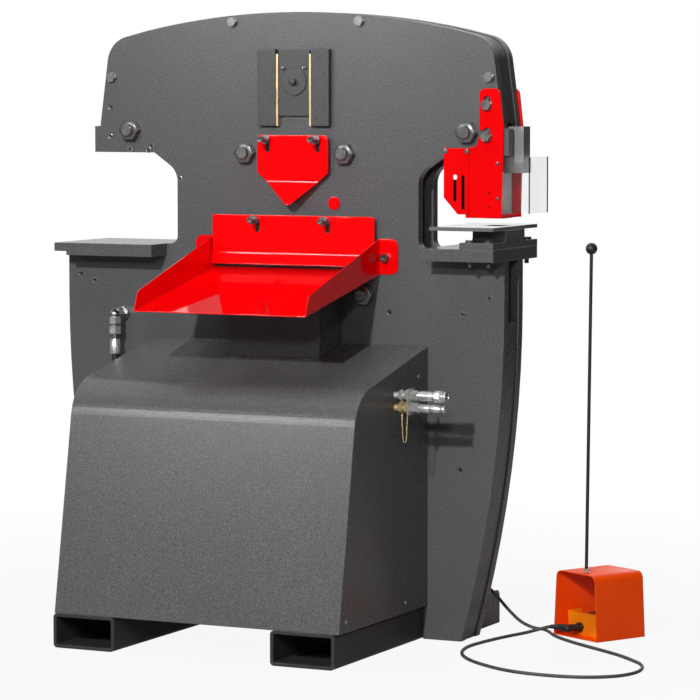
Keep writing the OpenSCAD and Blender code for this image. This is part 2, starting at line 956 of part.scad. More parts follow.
module slide_blocks() {
    near = -face_y - touch_clear;
    color("dimgray") both_faces() difference() {
        union() {
            block([-slide_half_w, near - slide_proud, slide_low_z],
                [slide_half_w, near, slide_low_z + slide_len]);
            for (s = [-1, 1])
                rod_y(s * nipple_x, slide_z + nipple_rise, nipple_r, near - slide_proud - nipple_h, near);
        }
        rod_y(0, slide_z, pin_r + hole_clear, near - slide_proud - overrun, near + overrun);
    }
}

module slide_pin() {
    tip = face_y + touch_clear + slide_proud;
    color("dimgray") {
        rod_y(0, slide_z, pin_r, -tip, tip);
        both_faces() {
            rod_y(0, slide_z, cap_r, -tip - cap_t, -tip);
            hex_y(0, slide_z, cap_bolt_af, -tip - cap_t - cap_bolt_h, -tip - cap_t);
        }
    }
}

ram_corners = [
    [-ram_body, ram_low_z], [ram_body, ram_low_z], [ram_body, arm_low_z], [notch_x, arm_low_z],
    [notch_x, notch_low_z], [notch_arm_x, notch_low_z], [notch_arm_x, arm_end_z], [arm_inner_x, arm_end_z],
    [arm_inner_x, arm_top_z], [hump_half_w, arm_top_z], [hump_half_w, hump_top_z],
    [-hump_half_w, hump_top_z], [-hump_half_w, arm_top_z], [-arm_inner_x, arm_top_z],
    [-arm_inner_x, arm_end_z], [-arm_left_x, arm_end_z], [-arm_left_x, arm_low_z], [-ram_body, arm_low_z]];

module ram() {
    color("gray") in_face(ram_half, ram_t) difference() {
        polygon(ram_corners);
        translate([0, slide_z]) circle(r = pin_r + hole_clear);
        diamond(angle_half);
        angle_blade_shape(true);
        translate([-bar_window_half, bar_z - bar_window_drop])
            square([2 * bar_window_half, bar_open + bar_window_drop]);
        bar_shape(blade_edge_z - overrun, blade_edge_z + bar_blade_h);
    }
}

module notch_punch() {
    color("dimgray") block([punch_x, -punch_half_w, punch_low_z],
        [punch_x + punch_len, punch_half_w, notch_low_z]);
}

module ram_blades() {
    color("silver") {
        in_face(ram_half, ram_t) angle_blade_shape(true);
        in_face(ram_half, ram_t) bar_shape(blade_edge_z, blade_edge_z + bar_blade_h);
    }
}

module fixed_blades() {
    color("silver") {
        in_face(face_y, face_y - blade_back) angle_blade_shape(false);
        in_face(face_y, face_y - blade_back) bar_shape(bar_z - bar_blade_h, bar_z);
    }
}

module cylinder_barrel() {
    color("dimgray") difference() {
        union() {
            translate([0, 0, barrel_z]) cylinder(r = barrel_r, h = barrel_len);
            rod_y(0, barrel_top_z - port_drop, port_r, -barrel_r - port_len, 0);
        }
        translate([0, 0, barrel_z + barrel_floor])
            cylinder(r = bore_r, h = barrel_len - barrel_floor - gland_h);
        translate([0, 0, barrel_z + barrel_floor]) cylinder(r = rod_r + run_clear, h = barrel_len);
        rod_y(0, barrel_top_z - port_drop, port_r / 2, -barrel_r - port_len - overrun, -bore_r + overrun);
    }
}

module cylinder_rod() {
    color("silver") {
        translate([0, 0, piston_z]) cylinder(r = rod_r, h = ram_low_z - piston_z);
        translate([0, 0, piston_z]) cylinder(r = bore_r - run_clear, h = piston_h);
    }
}

// Housings over the cylinder, open against the frame

module front_housing() {
    fall = housing_proud * tan(cover_slope);
    deep = housing_proud - cover_t;
    near = -face_y;
    color("dimgray") difference() {
        in_side(-housing_half_w, 2 * housing_half_w) polygon([
            [near, housing_top_z], [near - housing_proud, housing_top_z],
            [near - housing_proud, cover_back_z - fall], [near, cover_back_z]]);
        block([-housing_half_w + cover_t, near - deep, cover_back_z - fall - overrun],
            [housing_half_w - cover_t, near + overrun, housing_top_z - cover_t]);
    }
}

module rear_housing() {
    near = face_y;
    color("dimgray") difference() {
        block([-housing_half_w, near, rear_housing_z],
            [housing_half_w, near + housing_proud, housing_top_z]);
        block([-housing_half_w + cover_t, near - overrun, rear_housing_z + cover_t],
            [housing_half_w - cover_t, near + housing_proud - cover_t, housing_top_z - cover_t]);
    }
}

// Guards and tray

// Flat sheet whose lower lip is bent out towards the front
module bent_sheet(half_w, top_z, bend_z, low_z, bend) {
    lip = (bend_z - low_z) * tan(bend);
    mitre = guard_t * tan(bend / 2);
    near = -guard_back;
    in_side(-half_w, 2 * half_w) polygon(rounded([
        [near, top_z, 0], [near, bend_z, guard_bend_r + guard_t], [near - lip, low_z, 0],
        [near - lip - guard_t / cos(bend), low_z, 0], [near - guard_t, bend_z + mitre, guard_bend_r],
        [near - guard_t, top_z, 0]]));
}

module v_guard() {
    color("red") difference() {
        intersection() {
            bent_sheet(v_half_w, v_top_z, v_bend_z, v_tip_z, v_bend);
            in_face(-face_y, guard_gap + guard_t + v_bend_rise) polygon(rounded([
                [-v_half_w, v_top_z, v_corner_r], [-v_half_w, v_side_z, v_side_r], [0, v_tip_z, v_tip_r],
                [v_half_w, v_side_z, v_side_r], [v_half_w, v_top_z, v_corner_r]]));
        }
        for (s = [-1, 1]) guard_slot(s * v_bolt_x, v_bolt_z);
    }
}

module drop_guard() {
    color("red") difference() {
        intersection() {
            bent_sheet(drop_half_w, drop_top_z, drop_bend_z, drop_low_z, drop_bend);
            in_face(-face_y, guard_gap + guard_t + drop_bend_rise) polygon(rounded([
                [-drop_half_w, drop_top_z, drop_corner_r], [-drop_half_w, drop_low_z, drop_corner_r],
                [drop_half_w, drop_low_z, drop_corner_r], [drop_half_w, drop_top_z, drop_corner_r]]));
        }
        for (s = [-1, 1]) guard_slot(s * drop_bolt_x, drop_bolt_z);
    }
}

module guard_slot(x, z) {
    in_face(-guard_back + overrun, guard_t + 2 * overrun)
        slot_shape(x, z - guard_lift, z, gb_r + touch_clear);
}

// Shoulder bolt that carries a guard: collar behind it, loose washer, neck and socket head before it
module guard_bolt(x, z, stand, neck) {
    washer_y = guard_front + stand;
    neck_y = washer_y + gb_washer_t;
    head_y = neck_y + neck;
    difference() {
        union() {
            hex_y(x, z, gb_collar_af, -guard_back + touch_clear, -face_y);
            rod_y(x, z, gb_r, -head_y, -face_y + gb_depth);
            rod_y(x, z, gb_washer_r, -neck_y, -washer_y);
            rod_y(x, z, gb_neck_r, -head_y, -neck_y);
            rod_y(x, z, gb_head_r, -head_y - gb_head_h, -head_y);
        }
        hex_y(x, z, 2 * gb_socket_r, -head_y - gb_head_h - overrun, -head_y - gb_head_h + gb_socket_d);
    }
}

module guard_bolts() {
    color("silver") for (s = [-1, 1]) {
        guard_bolt(s * v_bolt_x, v_bolt_z, v_bolt_stand, v_bolt_neck);
        guard_bolt(s * drop_bolt_x, drop_bolt_z, drop_bolt_stand, drop_bolt_neck);
    }
}

module face_plug() {
    color("red") {
        rod_y(plug_x, plug_z, plug_r, -face_y - plug_t, -face_y);
        rod_y(plug_x, plug_z, plug_r - plug_t - hole_clear, -face_y, -face_y + plug_depth);
    }
}

module tray() {
    wall_low_z = tray_back_z - ear_low;
    ear_x = tray_half_w + ear_w;
    color("red") {
        both_sides() {
            in_side(tray_half_w - guard_t, guard_t) polygon(rounded([
                [tray_back_y, wall_low_z, 0], [tray_back_y, wall_low_z + tray_wall_h, 0],
                [tray_front_y + tray_front_lean, tray_front_z + tray_front_h, tray_corner_r],
                [tray_front_y, tray_front_z - guard_t, 0]]));
            in_face(tray_back_y, guard_t) difference() {
                polygon(rounded([[tray_half_w - guard_t, wall_low_z, 0], [ear_x, wall_low_z, ear_r],
                    [ear_x, wall_low_z + tray_wall_h, ear_r],
                        [tray_half_w - guard_t, wall_low_z + tray_wall_h, 0]]));
                translate([tray_bolt_x, tray_bolt_z]) circle(r = tray_bolt_r + hole_clear);
            }
        }
        in_side(-tray_half_w, 2 * tray_half_w) polygon([
            [tray_back_y, tray_back_z], [tray_back_y, tray_back_z - guard_t],
            [tray_front_y, tray_front_z - guard_t], [tray_front_y, tray_front_z]]);
    }
}

module tray_bolts() {
    near = face_y + guard_t;
    color("silver") both_sides() difference() {
        union() {
            rod_y(tray_bolt_x, tray_bolt_z, tray_bolt_r, -near, -face_y + gb_depth);
            rod_y(tray_bolt_x, tray_bolt_z, tray_bolt_head_r, -near - tray_bolt_head_h, -near);
        }
        hex_y(tray_bolt_x, tray_bolt_z, 2 * gb_socket_r, -near - tray_bolt_head_h - overrun,
            -near - tray_bolt_head_h + gb_socket_d);
    }
}

// Tables and notcher

module punch_table() {
    left_x = -table_end_x - table_len;
    color("gray") {
        block([left_x, -table_w / 2, seat_left_z], [-table_end_x, table_w / 2, table_z]);
        both_faces() block([left_x + bar_under_in, -table_w / 2, seat_left_z - bar_under_t],
            [-table_end_x, -face_y, seat_left_z]);
    }
}

module notch_passage() {
    block([punch_x - punch_clear, -punch_half_w - punch_clear, support_z - overrun],
        [punch_x + punch_len + punch_clear, punch_half_w + punch_clear, notch_table_z + overrun]);
}

module notch_support() {
    color("gray") difference() {
        block([support_x, -table_w / 2, support_z], [right_end_x, table_w / 2, support_top_z]);
        notch_passage();
    }
}

module notch_die() {
    color("dimgray") difference() {
        union() {
            block([die_x, -table_w / 2, support_top_z], [right_end_x, table_w / 2, die_base_z]);
            in_side(die_x, die_len) difference() {
                translate([-die_half_w - die_foot_r, die_base_z])
                    square([2 * (die_half_w + die_foot_r), die_h]);
                for (s = [-1, 1]) {
                    translate([s * (die_half_w + die_foot_r), die_base_z + die_foot_r])
                        circle(r = die_foot_r);
                    translate([s > 0 ? die_half_w : -die_half_w - die_foot_r - overrun,
                        die_base_z + die_foot_r])
                        square([die_foot_r + overrun, die_h]);
                }
            }
        }
        notch_passage();
    }
}

module notch_table() {
    color("gray") difference() {
        block([notch_table_x, -table_w / 2, die_top_z], [right_end_x, table_w / 2, notch_table_z]);
        notch_passage();
    }
}

module notch_bolts() {
    washer_y = guard_face + notch_guard_t + touch_clear;
    head_y = washer_y + notch_washer_t;
    foot_y = table_w / 2 - notch_foot_bolt_in;
    color("silver") {
        both_faces() for (z = notch_bolt_zs) {
            rod_y(notch_bolt_x, z, notch_bolt_r, -head_y, -face_y + gb_depth);
            rod_y(notch_bolt_x, z, notch_washer_r, -head_y, -washer_y);
            hex_y(notch_bolt_x, z, notch_bolt_af, -head_y - notch_bolt_h, -head_y);
        }
        for (y = [-foot_y, foot_y], x = [die_x + notch_foot_bolt_in, right_end_x - notch_foot_bolt_in]) {
            translate([x, y, die_base_z]) cylinder(r = 2 * notch_foot_bolt_r, h = notch_foot_bolt_r);
            translate([x, y, support_z - notch_foot_bolt_h])
                cylinder(r = notch_foot_bolt_r, h = notch_foot_bolt_h);
        }
    }
}

// The lower bolt's slot is open to the left, so that the guard hooks on
module notch_guard_shape() {
    slot_r = notch_bolt_r + touch_clear;
    difference() {
        polygon(rounded([
            [ng_lap_x, ng_low_z, 0], [ng_right_x, ng_low_z, 0], [ng_mid_x, ng_mid_z, 0],
            [ng_top_right_x, ng_top_z, ng_corner_r], [ng_left_x, ng_top_z, ng_corner_r],
            [ng_left_x, ng_mid_z, 0], [ng_hook_x, ng_hook_z, ng_hook_r], [ng_lap_x, ng_lap_z, 0]]));
        for (z = notch_bolt_zs) slot_shape(notch_bolt_x, z, z + notch_drop, slot_r);
        translate([ng_hook_x - overrun, notch_bolt_zs[1] + ng_entry_rise - slot_r])
            square([notch_bolt_x - ng_hook_x + overrun, 2 * slot_r]);
        for (z = ng_hole_zs) translate([ng_hole_x, z]) circle(r = ng_hole_r);
    }
}

module shield_screws() {
    outer = guard_face + notch_guard_t;
    for (z = shield_screw_zs) rod_y(shield_screw_x, z, screw_r, -outer - screw_head_h, -outer);
}

module notch_guard_front() {
    color("red") {
        in_face(-guard_face, notch_guard_t) notch_guard_shape();
        shield_screws();
    }
}

module notch_guard_wing() {
    outer = guard_face + notch_guard_t;
    color("red") {
        in_face(-outer, wing_t) difference() {
            polygon([[wing_left_x, wing_top_z], [wing_left_x, wing_cut_z], [wing_cut_x, wing_low_z],
                [wing_right_x, wing_low_z], [wing_right_x, wing_top_z]]);
            for (s = wing_slots) slot_shape(s[0], s[1], s[2], wing_slot_r);
            translate([wing_slots[0][0], wing_slots[0][2]]) circle(r = wing_key_r);
        }
        for (p = wing_screws)
            rod_y(p.x, p.y, screw_head_r, -outer - wing_t - screw_head_h, -outer - wing_t);
    }
}

module notch_guard_rear() {
    tie_x = ng_right_x - tie_strip_in - tie_strip_t;
    color("red") {
        mirror([0, 1, 0]) {
            in_face(-guard_face, notch_guard_t) notch_guard_shape();
            shield_screws();
        }
        block([tie_x, -guard_face, ng_low_z], [tie_x + tie_strip_t, guard_face, ng_low_z + tie_strip_h]);
    }
}

module notch_shield() {
    low = shield_top_z - shield_h;
    color("lightblue", 0.4) difference() {
        block([shield_in_x, -shield_out_y, low], [shield_x, shield_out_y, shield_top_z]);
        block([shield_in_x - overrun, -shield_out_y + shield_t, low - overrun],
            [shield_x - shield_t, shield_out_y - shield_t, shield_top_z + overrun]);
    }
}

// Power unit

// Side profile of the cover, drawn in by an inset
function cover_corners(inset, back, low) = let (
    drop = inset / cos(cover_slope), pull = inset / cos(cover_lean),
    a = tan(cover_slope), b = tan(90 - cover_lean),
    top = cover_back_z - drop, foot = cover_reach - pull,
    knee = (top - cover_low_z - b * foot) / (a - b))
    [[cover_back_y + back, top + back * a, 0],
     [cover_back_y - knee, top - knee * a, cover_bend_r - inset],
     [cover_back_y - foot - low / b, cover_low_z - low, 0],
     [cover_back_y + back, cover_low_z - low, 0]];

module cover_notch() {
    block([-cover_notch_half, cover_back_y - housing_proud + cover_t, barrel_z],
        [cover_notch_half, cover_back_y + overrun, housing_top_z]);
}

module power_cover_wrap() {
    color("dimgray") difference() {
        in_side(-cover_left, cover_left + cover_right) difference() {
            polygon(rounded(cover_corners(0, 0, 0)));
            polygon(rounded(cover_corners(cover_t, overrun, overrun)));
        }
        cover_notch();
    }
}

module power_cover_sides() {
    color("dimgray") for (x = [-cover_left, cover_right - cover_t])
        in_side(x, cover_t) polygon(rounded(cover_corners(cover_t, 0, 0)));
}

module power_base() {
    color("dimgray") block([-cover_left + base_in, cover_foot_y + cover_t + base_in, tube_h],
        [cover_right - base_in, cover_back_y, base_z]);
}

module fork_tubes() {
    color("black") for (x = [-tube_left_x, tube_right_x])
        translate([x, 0, 0]) in_face(tube_back_y, tube_back_y - tube_front_y) difference() {
            rounded_box_shape(tube_w, tube_h, tube_corner_r);
            translate([0, tube_wall])
                rounded_box_shape(tube_w - 2 * tube_wall, tube_h - 2 * tube_wall,
                    tube_corner_r - tube_wall);
        }
}

module tank() {
    color("dimgray") {
        difference() {
            block([-tank_left, tank_front_y, base_z], [-tank_right, tank_back_y, base_z + tank_h]);
            block([-tank_left + tank_wall, tank_front_y + tank_wall, base_z + tank_wall],
                [-tank_right - tank_wall, tank_back_y - tank_wall, base_z + tank_h - tank_wall]);
        }
        translate([-tank_cap_x, tank_cap_y, base_z + tank_h]) cylinder(r = tank_cap_r, h = tank_cap_h);
    }
}

module motor() {
    color("steelblue") {
        rod_x(motor_y, motor_axis_z, motor_r, motor_x, motor_x + motor_len);
        rod_x(motor_y, motor_axis_z, motor_end_r, motor_x + motor_len, motor_x + motor_len + motor_end_t);
        block([motor_x, motor_y - motor_foot_w / 2, base_z],
            [motor_x + motor_len, motor_y + motor_foot_w / 2, motor_axis_z - motor_r / 2]);
        block([motor_x + motor_box.x / 2, motor_y - motor_box.y / 2, motor_axis_z],
            [motor_x + motor_box.x * 3 / 2, motor_y + motor_box.y / 2,
                motor_axis_z + motor_r + motor_box.z / 2]);
    }
}

module pump_unit() {
    valve_z = base_z + tank_h;
    color("gray") {
        rod_x(motor_y, motor_axis_z, pump_flange_r, motor_x - pump_flange_t, motor_x);
        rod_x(motor_y, motor_axis_z, pump_r, motor_x - pump_flange_t - pump_len, motor_x - pump_flange_t);
        translate([valve_x, valve_y, valve_z]) cube(valve);
        rod_x(valve_y + valve.y / 2, valve_z + valve.z / 2, coil_r, valve_x - coil_len,
            valve_x + valve.x + coil_len);
    }
}

pump_top = [motor_x - pump_flange_t - pump_len / 2, motor_y, motor_axis_z + pump_r];
valve_top = [valve_x + valve.x / 2, valve_y + valve.y / 2, base_z + tank_h + valve.z];
valve_back = [valve_x + valve.x / 2, valve_y + valve.y, base_z + tank_h + valve.z / 2];
barrel_port = [0, -barrel_r - port_len, lift + barrel_top_z - port_drop];
hose_rise = 40;
hose_lead = 12;
side_hose_x = -cover_left - hose_lead;
side_hose_bend = side_hose_x - elbow_x;
side_hose_arc_steps = 9;
side_hose_route = concat([[elbow_x, elbow_y, elbow_low_z]],
    [for (k = [0:side_hose_arc_steps]) let (turn = 180 + 90 * k / side_hose_arc_steps)
        [side_hose_x + side_hose_bend * cos(turn), elbow_y,
         side_hose_z + side_hose_bend + side_hose_bend * sin(turn)]],
    [[-cover_left - touch_clear, elbow_y, side_hose_z]]);

// Hose that leaves and meets its ports straight
function hose_path(from, out, middle, to, back) = concat([from + touch_clear * out],
    smooth([from + hose_lead * out, from + hose_rise * out, middle,
        to + hose_rise * back, to + hose_lead * back], hose_steps),
    [to + touch_clear * back]);

module hoses() {
    over = [(pump_top.x + valve_top.x) / 2, pump_top.y, valve_top.z + hose_rise];
    swing = [valve_back.x / 2, barrel_port.y - hose_rise, (valve_back.z + barrel_port.z) / 2];
    color("black") {
        tube(hose_path(pump_top, [0, 0, 1], over, valve_top, [0, 0, 1]), hose_r, hose_sides, [0, 1, 0]);
        tube(hose_path(valve_back, [0, 1, 0], swing, barrel_port, [0, -1, 0]), hose_r, hose_sides);
        raised() tube(side_hose_route, hose_r, hose_sides, [0, 1, 0]);
    }
}

module left_elbow() {
    nut_z = elbow_nut_z - elbow_nut_h;
    color("silver") {
        rod_y(elbow_x, elbow_z, elbow_port_r, -face_y - elbow_port_t, -face_y);
        hex_y(elbow_x, elbow_z, elbow_hex_af, elbow_y, -face_y - elbow_port_t);
        translate([elbow_x, elbow_y, elbow_z]) sphere(r = elbow_hex_af / 2);
        translate([elbow_x, elbow_y, elbow_nut_z]) cylinder(r = elbow_r, h = elbow_z - elbow_nut_z);
        translate([elbow_x, elbow_y, nut_z]) cylinder(r = elbow_hex_af / sqrt(3), h = elbow_nut_h, $fn = 6);
        translate([elbow_x, elbow_y, elbow_low_z]) cylinder(r = elbow_r, h = elbow_ferrule_h);
    }
}

// Accessory couplers

module nipple_nuts(z, af) {
    far = coupler_plate_x;
    near = far - 2 * nipple_nut_t - nipple_nut_gap;
    hex_x(coupler_y, z, af, far - nipple_nut_t, far);
    hex_x(coupler_y, z, af, near, near + nipple_nut_t);
    rod_x(coupler_y, z, nipple_pipe_r, cover_right, far);
}

module coupler_bodies() {
    mid_z = (coupler_z + coupler_low_z) / 2;
    female_end = coupler_face_x + female_len;
    male_end = coupler_face_x + male_len;
    color("silver") {
        block([coupler_plate_x, coupler_y - coupler_plate_w / 2, mid_z - coupler_plate_h / 2],
            [coupler_face_x, coupler_y + coupler_plate_w / 2, mid_z + coupler_plate_h / 2]);
        nipple_nuts(coupler_z, nipple_af);
        difference() {
            union() {
                hex_x(coupler_y, coupler_z, female_hex_af, coupler_face_x, coupler_face_x + female_hex_t);
                rod_x(coupler_y, coupler_z, female_r, coupler_face_x, female_end);
            }
            rod_x(coupler_y, coupler_z, socket_r, female_end - socket_depth, female_end + overrun);
        }
        hex_x(coupler_y, coupler_low_z, female_hex_af, coupler_face_x, coupler_face_x + male_hex_t);
        rod_x(coupler_y, coupler_low_z, male_r, coupler_face_x, male_end - male_nose_len);
        rod_x(coupler_y, coupler_low_z, male_nose_r, coupler_face_x, male_end);
    }
}

module coupler_sleeve() {
    far = coupler_face_x + female_len - sleeve_in;
    color("silver") difference() {
        rod_x(coupler_y, coupler_z, sleeve_r, far - sleeve_len, far);
        rod_x(coupler_y, coupler_z, female_r + run_clear, far - sleeve_len - overrun, far + overrun);
    }
}

function wire_point(t) = [coupler_plate_x - nipple_nut_t / 2 + wire_half_w * (1 - 2 * t) - wire_half_w,
    coupler_y, coupler_low_z - brass_af / 2 + wire_r - wire_drop * (1 - (1 - 2 * t) * (1 - 2 * t))];

module coupler_brass() {
    color("goldenrod") {
        nipple_nuts(coupler_low_z, brass_af);
        tube([for (k = [0:wire_steps]) wire_point(k / wire_steps)], wire_r, wire_sides, [0, 1, 0]);
    }
}

// Back of the machine

module rear_foot(x) {
    difference() {
        union() {
            block([x - foot_w, face_y, 0], [x, face_y + foot_len, foot_t]);
            in_side(x - foot_wall_t, foot_wall_t) polygon(rounded([
                [face_y, 0, 0], [face_y + foot_len, 0, 0],
                [face_y + foot_len, foot_wall_h, foot_wall_r], [face_y, foot_wall_h, 0]]));
        }
        translate([x - foot_w / 2, face_y + foot_len - anchor_in, -overrun])
            cylinder(r = anchor_r, h = foot_t + 2 * overrun);
    }
}

module rear_feet() {
    color("dimgray") {
        rear_foot(foot_right_x);
        rear_foot(foot_left_x + foot_w);
    }
}

module control_box() {
    color("gray") difference() {
        block([box_left, face_y, box_low_z], [box_right, box_back_y, box_low_z + box_h]);
        block([box_left + box_wall, face_y + box_wall, box_low_z + box_wall],
            [box_right - box_wall, box_back_y - box_wall, box_low_z + box_h - box_wall]);
        for (x = [start_x, stop_x])
            rod_y(x, button_z, button_r + run_clear, box_back_y - box_wall - overrun, box_back_y + overrun);
    }
}

module button_stem_at(x) {
    rod_y(x, button_z, button_r, box_back_y - button_stem, box_back_y + button_out);
    rod_y(x, button_z, button_flange_r, box_back_y - button_stem,
        box_back_y - button_stem + button_flange_t);
}

module start_button() {
    color("green") button_stem_at(start_x);
}

module stop_button() {
    color("red") {
        button_stem_at(stop_x);
        rod_y(stop_x, button_z, mushroom_r, box_back_y + button_out, box_back_y + button_out + mushroom_t);
    }
}

module cord_gland() {
    color("black") {
        translate([gland_x, gland_y, box_low_z - gland_hex_h])
            cylinder(r = gland_af / sqrt(3), h = gland_hex_h, $fn = 6);
        translate([gland_x, gland_y, box_low_z - gland_hex_h - gland_nose_h])
            cylinder(r1 = cord_d / 2 + gland_lip, r2 = gland_nose_r, h = gland_nose_h);
    }
}

module shear_table() {
    color("gray") {
        block([-shear_table_half_w, face_y, bar_z - shear_table_t],
            [shear_table_half_w, face_y + shear_table_reach, bar_z]);
        both_sides() in_side(gusset_x - gusset_t, gusset_t) polygon([
            [face_y, bar_z - shear_table_t], [face_y, bar_z - shear_table_t - gusset_h],
            [face_y + shear_table_reach - gusset_short, bar_z - shear_table_t]]);
    }
}

// Pedal

function pedal_point(x, y) = [pedal_x + x * cos(pedal_yaw) - y * sin(pedal_yaw),
    pedal_y + x * sin(pedal_yaw) + y * cos(pedal_yaw)];

module on_pedal() {
    translate([pedal_x, pedal_y, 0]) rotate([0, 0, pedal_yaw]) children();
}

function hood_corners(inset) = [
    [inset, 0, 0], [hood_w - inset, 0, 0],
    [hood_w - hood_lean - inset, hood_h - inset, hood_r - inset],
    [hood_lean + inset, hood_h - inset, hood_r - inset]];

module pedal_cord() {
    color("black") tube(smooth(cord_route, cord_steps), cord_d / 2, cord_sides, [0, 1, 0]);
}

module pedal_hood() {
    color("orangered") on_pedal() {
        in_face(hood_d, hood_d) difference() {
            polygon(rounded(hood_corners(0)));
            polygon(rounded(concat([[hood_t, -overrun, 0], [hood_w - hood_t, -overrun, 0]],
                [hood_corners(hood_t)[2], hood_corners(hood_t)[3]])));
        }
        block([hood_t, 0, 0], [hood_w - hood_t, hood_d, hood_floor_t]);
    }
}

module pedal_base() {
    low = hood_floor_t;
    left = pedal_base_in;
    right = hood_w - pedal_base_in;
    front = pedal_base_front;
    back = hood_d - pedal_base_back;
    ear_back = front + pedal_block_d + pedal_ear_d;
    color("orange") on_pedal() difference() {
        union() {
            block([left, front, low], [right, front + pedal_block_d, low + pedal_block_h]);
            block([left, front, low], [right, back, low + pedal_pan_h]);
            for (x = [left, right - pedal_ear_w])
                block([x, front, low], [x + pedal_ear_w, ear_back, low + pedal_ear_h]);
        }
        rod_x(treadle_pin_y, treadle_pin_z, treadle_pin_r, left - overrun, right + overrun);
    }
}

treadle_left = pedal_base_in + pedal_ear_w + treadle_gap;
treadle_right = hood_w - treadle_left;
treadle_back = hood_d - treadle_short;
treadle_low_z = treadle_pin_z - treadle_t / 2;

module pedal_treadle() {
    color("black") on_pedal() difference() {
        union() {
            rod_x(treadle_pin_y, treadle_pin_z, treadle_knuckle_r, treadle_left, treadle_right);
            in_side(treadle_left, treadle_right - treadle_left) polygon([
                [treadle_pin_y, treadle_low_z], [treadle_back, treadle_low_z + treadle_rise],
                [treadle_back, treadle_low_z + treadle_rise + treadle_t],
                    [treadle_pin_y, treadle_low_z + treadle_t]]);
        }
        rod_x(treadle_pin_y, treadle_pin_z, treadle_pin_r + run_clear, treadle_left - overrun,
            treadle_right + overrun);
    }
}

module pedal_pin() {
    color("silver") on_pedal()
        rod_x(treadle_pin_y, treadle_pin_z, treadle_pin_r, pedal_base_in, hood_w - pedal_base_in);
}

spring_y = treadle_back - spring_back;
spring_low_z = hood_floor_t + pedal_pan_h + spring_wire_r;
spring_high_z = treadle_low_z - spring_wire_r - touch_clear
    + treadle_rise * (spring_y - treadle_pin_y) / (treadle_back - treadle_pin_y);

module pedal_spring() {
    steps = spring_turns * spring_turn_steps;
    color("silver") on_pedal() tube([for (k = [0:steps]) let (turn = 360 * k / spring_turn_steps)
        [hood_w / 2 + spring_coil_r * cos(turn), spring_y + spring_coil_r * sin(turn),
         spring_low_z + (spring_high_z - spring_low_z) * k / steps]], spring_wire_r, spring_sides);
}

module pedal_connector() {
    front = pedal_base_front;
    color("black") on_pedal() {
        hex_y(connector_in, connector_z, connector_hex_af, front - connector_hex_t, front);
        rod_y(connector_in, connector_z, connector_r, connector_y, front);
        rod_x(connector_y, connector_z, connector_r, connector_in - connector_side, connector_in);
        translate([connector_in, connector_y, connector_z]) sphere(r = connector_r);
    }
}

module pedal_handle() {
    color("black") on_pedal() translate([hood_w / 2, handle_in, hood_h]) {
        cylinder(r = handle_nut_af / sqrt(3), h = handle_nut_h, $fn = 6);
        translate([0, 0, handle_nut_h / 2]) rotate([0, handle_lean, 0]) {
            cylinder(r = handle_r, h = handle_len);
            translate([0, 0, handle_len]) sphere(r = ball_r);
        }
    }
}

raised() front_plate();
raised() rear_plate();
raised() frame_webs();
raised() head_strip();
raised() head_tie_bolts();
raised() guide_bolts();
raised() guide_nuts();
raised() gibs();
raised() gib_liners();
raised() slide_blocks();
raised() slide_pin();
raised() ram();
raised() notch_punch();
raised() ram_blades();
raised() fixed_blades();
raised() cylinder_barrel();
raised() cylinder_rod();
raised() front_housing();
raised() rear_housing();
raised() v_guard();
raised() drop_guard();
raised() guard_bolts();
raised() face_plug();
raised() tray();
raised() tray_bolts();
raised() punch_table();
raised() notch_support();
raised() notch_die();
raised() notch_table();
raised() notch_bolts();
raised() notch_guard_front();
raised() notch_guard_wing();
raised() notch_guard_rear();
raised() notch_shield();
raised() power_cover_wrap();
raised() power_cover_sides();
power_base();
fork_tubes();
tank();
motor();
pump_unit();
hoses();
raised() left_elbow();
raised() coupler_bodies();
raised() coupler_sleeve();
raised() coupler_brass();
rear_feet();
control_box();
start_button();
stop_button();
cord_gland();
pedal_cord();
pedal_hood();
pedal_base();
pedal_treadle();
pedal_pin();
pedal_spring();
pedal_connector();
pedal_handle();
raised() shear_table();
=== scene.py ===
"""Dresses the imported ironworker: coats, steels and plastics, cord, hoses and small fittings."""

import json
import math
from itertools import product

import bmesh
import bpy
from bpy.props import FloatProperty, FloatVectorProperty, IntProperty, PointerProperty
from mathutils import Matrix, Vector


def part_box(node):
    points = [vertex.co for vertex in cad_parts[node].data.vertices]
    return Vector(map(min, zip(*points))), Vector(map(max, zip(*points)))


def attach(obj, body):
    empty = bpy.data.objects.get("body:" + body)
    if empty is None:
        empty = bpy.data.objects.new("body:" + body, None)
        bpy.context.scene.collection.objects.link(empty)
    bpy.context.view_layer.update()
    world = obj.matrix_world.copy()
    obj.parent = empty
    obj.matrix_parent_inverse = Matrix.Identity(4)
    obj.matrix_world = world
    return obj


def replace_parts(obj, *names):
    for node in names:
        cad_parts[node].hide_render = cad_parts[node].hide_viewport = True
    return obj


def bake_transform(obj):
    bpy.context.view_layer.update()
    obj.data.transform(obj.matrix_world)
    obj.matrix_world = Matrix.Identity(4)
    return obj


bl_info = {
    "name": "Ironworker dressing",
    "version": (1, 0, 0),
    "blender": (4, 5, 0),
    "location": "View3D > Sidebar > Ironworker",
    "description": "Coats, cord, hoses and small fittings for the ironworker",
    "category": "Object",
}

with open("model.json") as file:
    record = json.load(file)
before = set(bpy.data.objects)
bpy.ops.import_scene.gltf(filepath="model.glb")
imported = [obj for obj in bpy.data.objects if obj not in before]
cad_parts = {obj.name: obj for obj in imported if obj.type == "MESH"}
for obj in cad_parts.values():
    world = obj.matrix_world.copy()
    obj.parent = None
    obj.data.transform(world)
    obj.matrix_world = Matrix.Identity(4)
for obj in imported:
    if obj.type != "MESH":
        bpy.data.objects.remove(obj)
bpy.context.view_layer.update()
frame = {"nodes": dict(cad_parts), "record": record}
NODES = frame["nodes"]

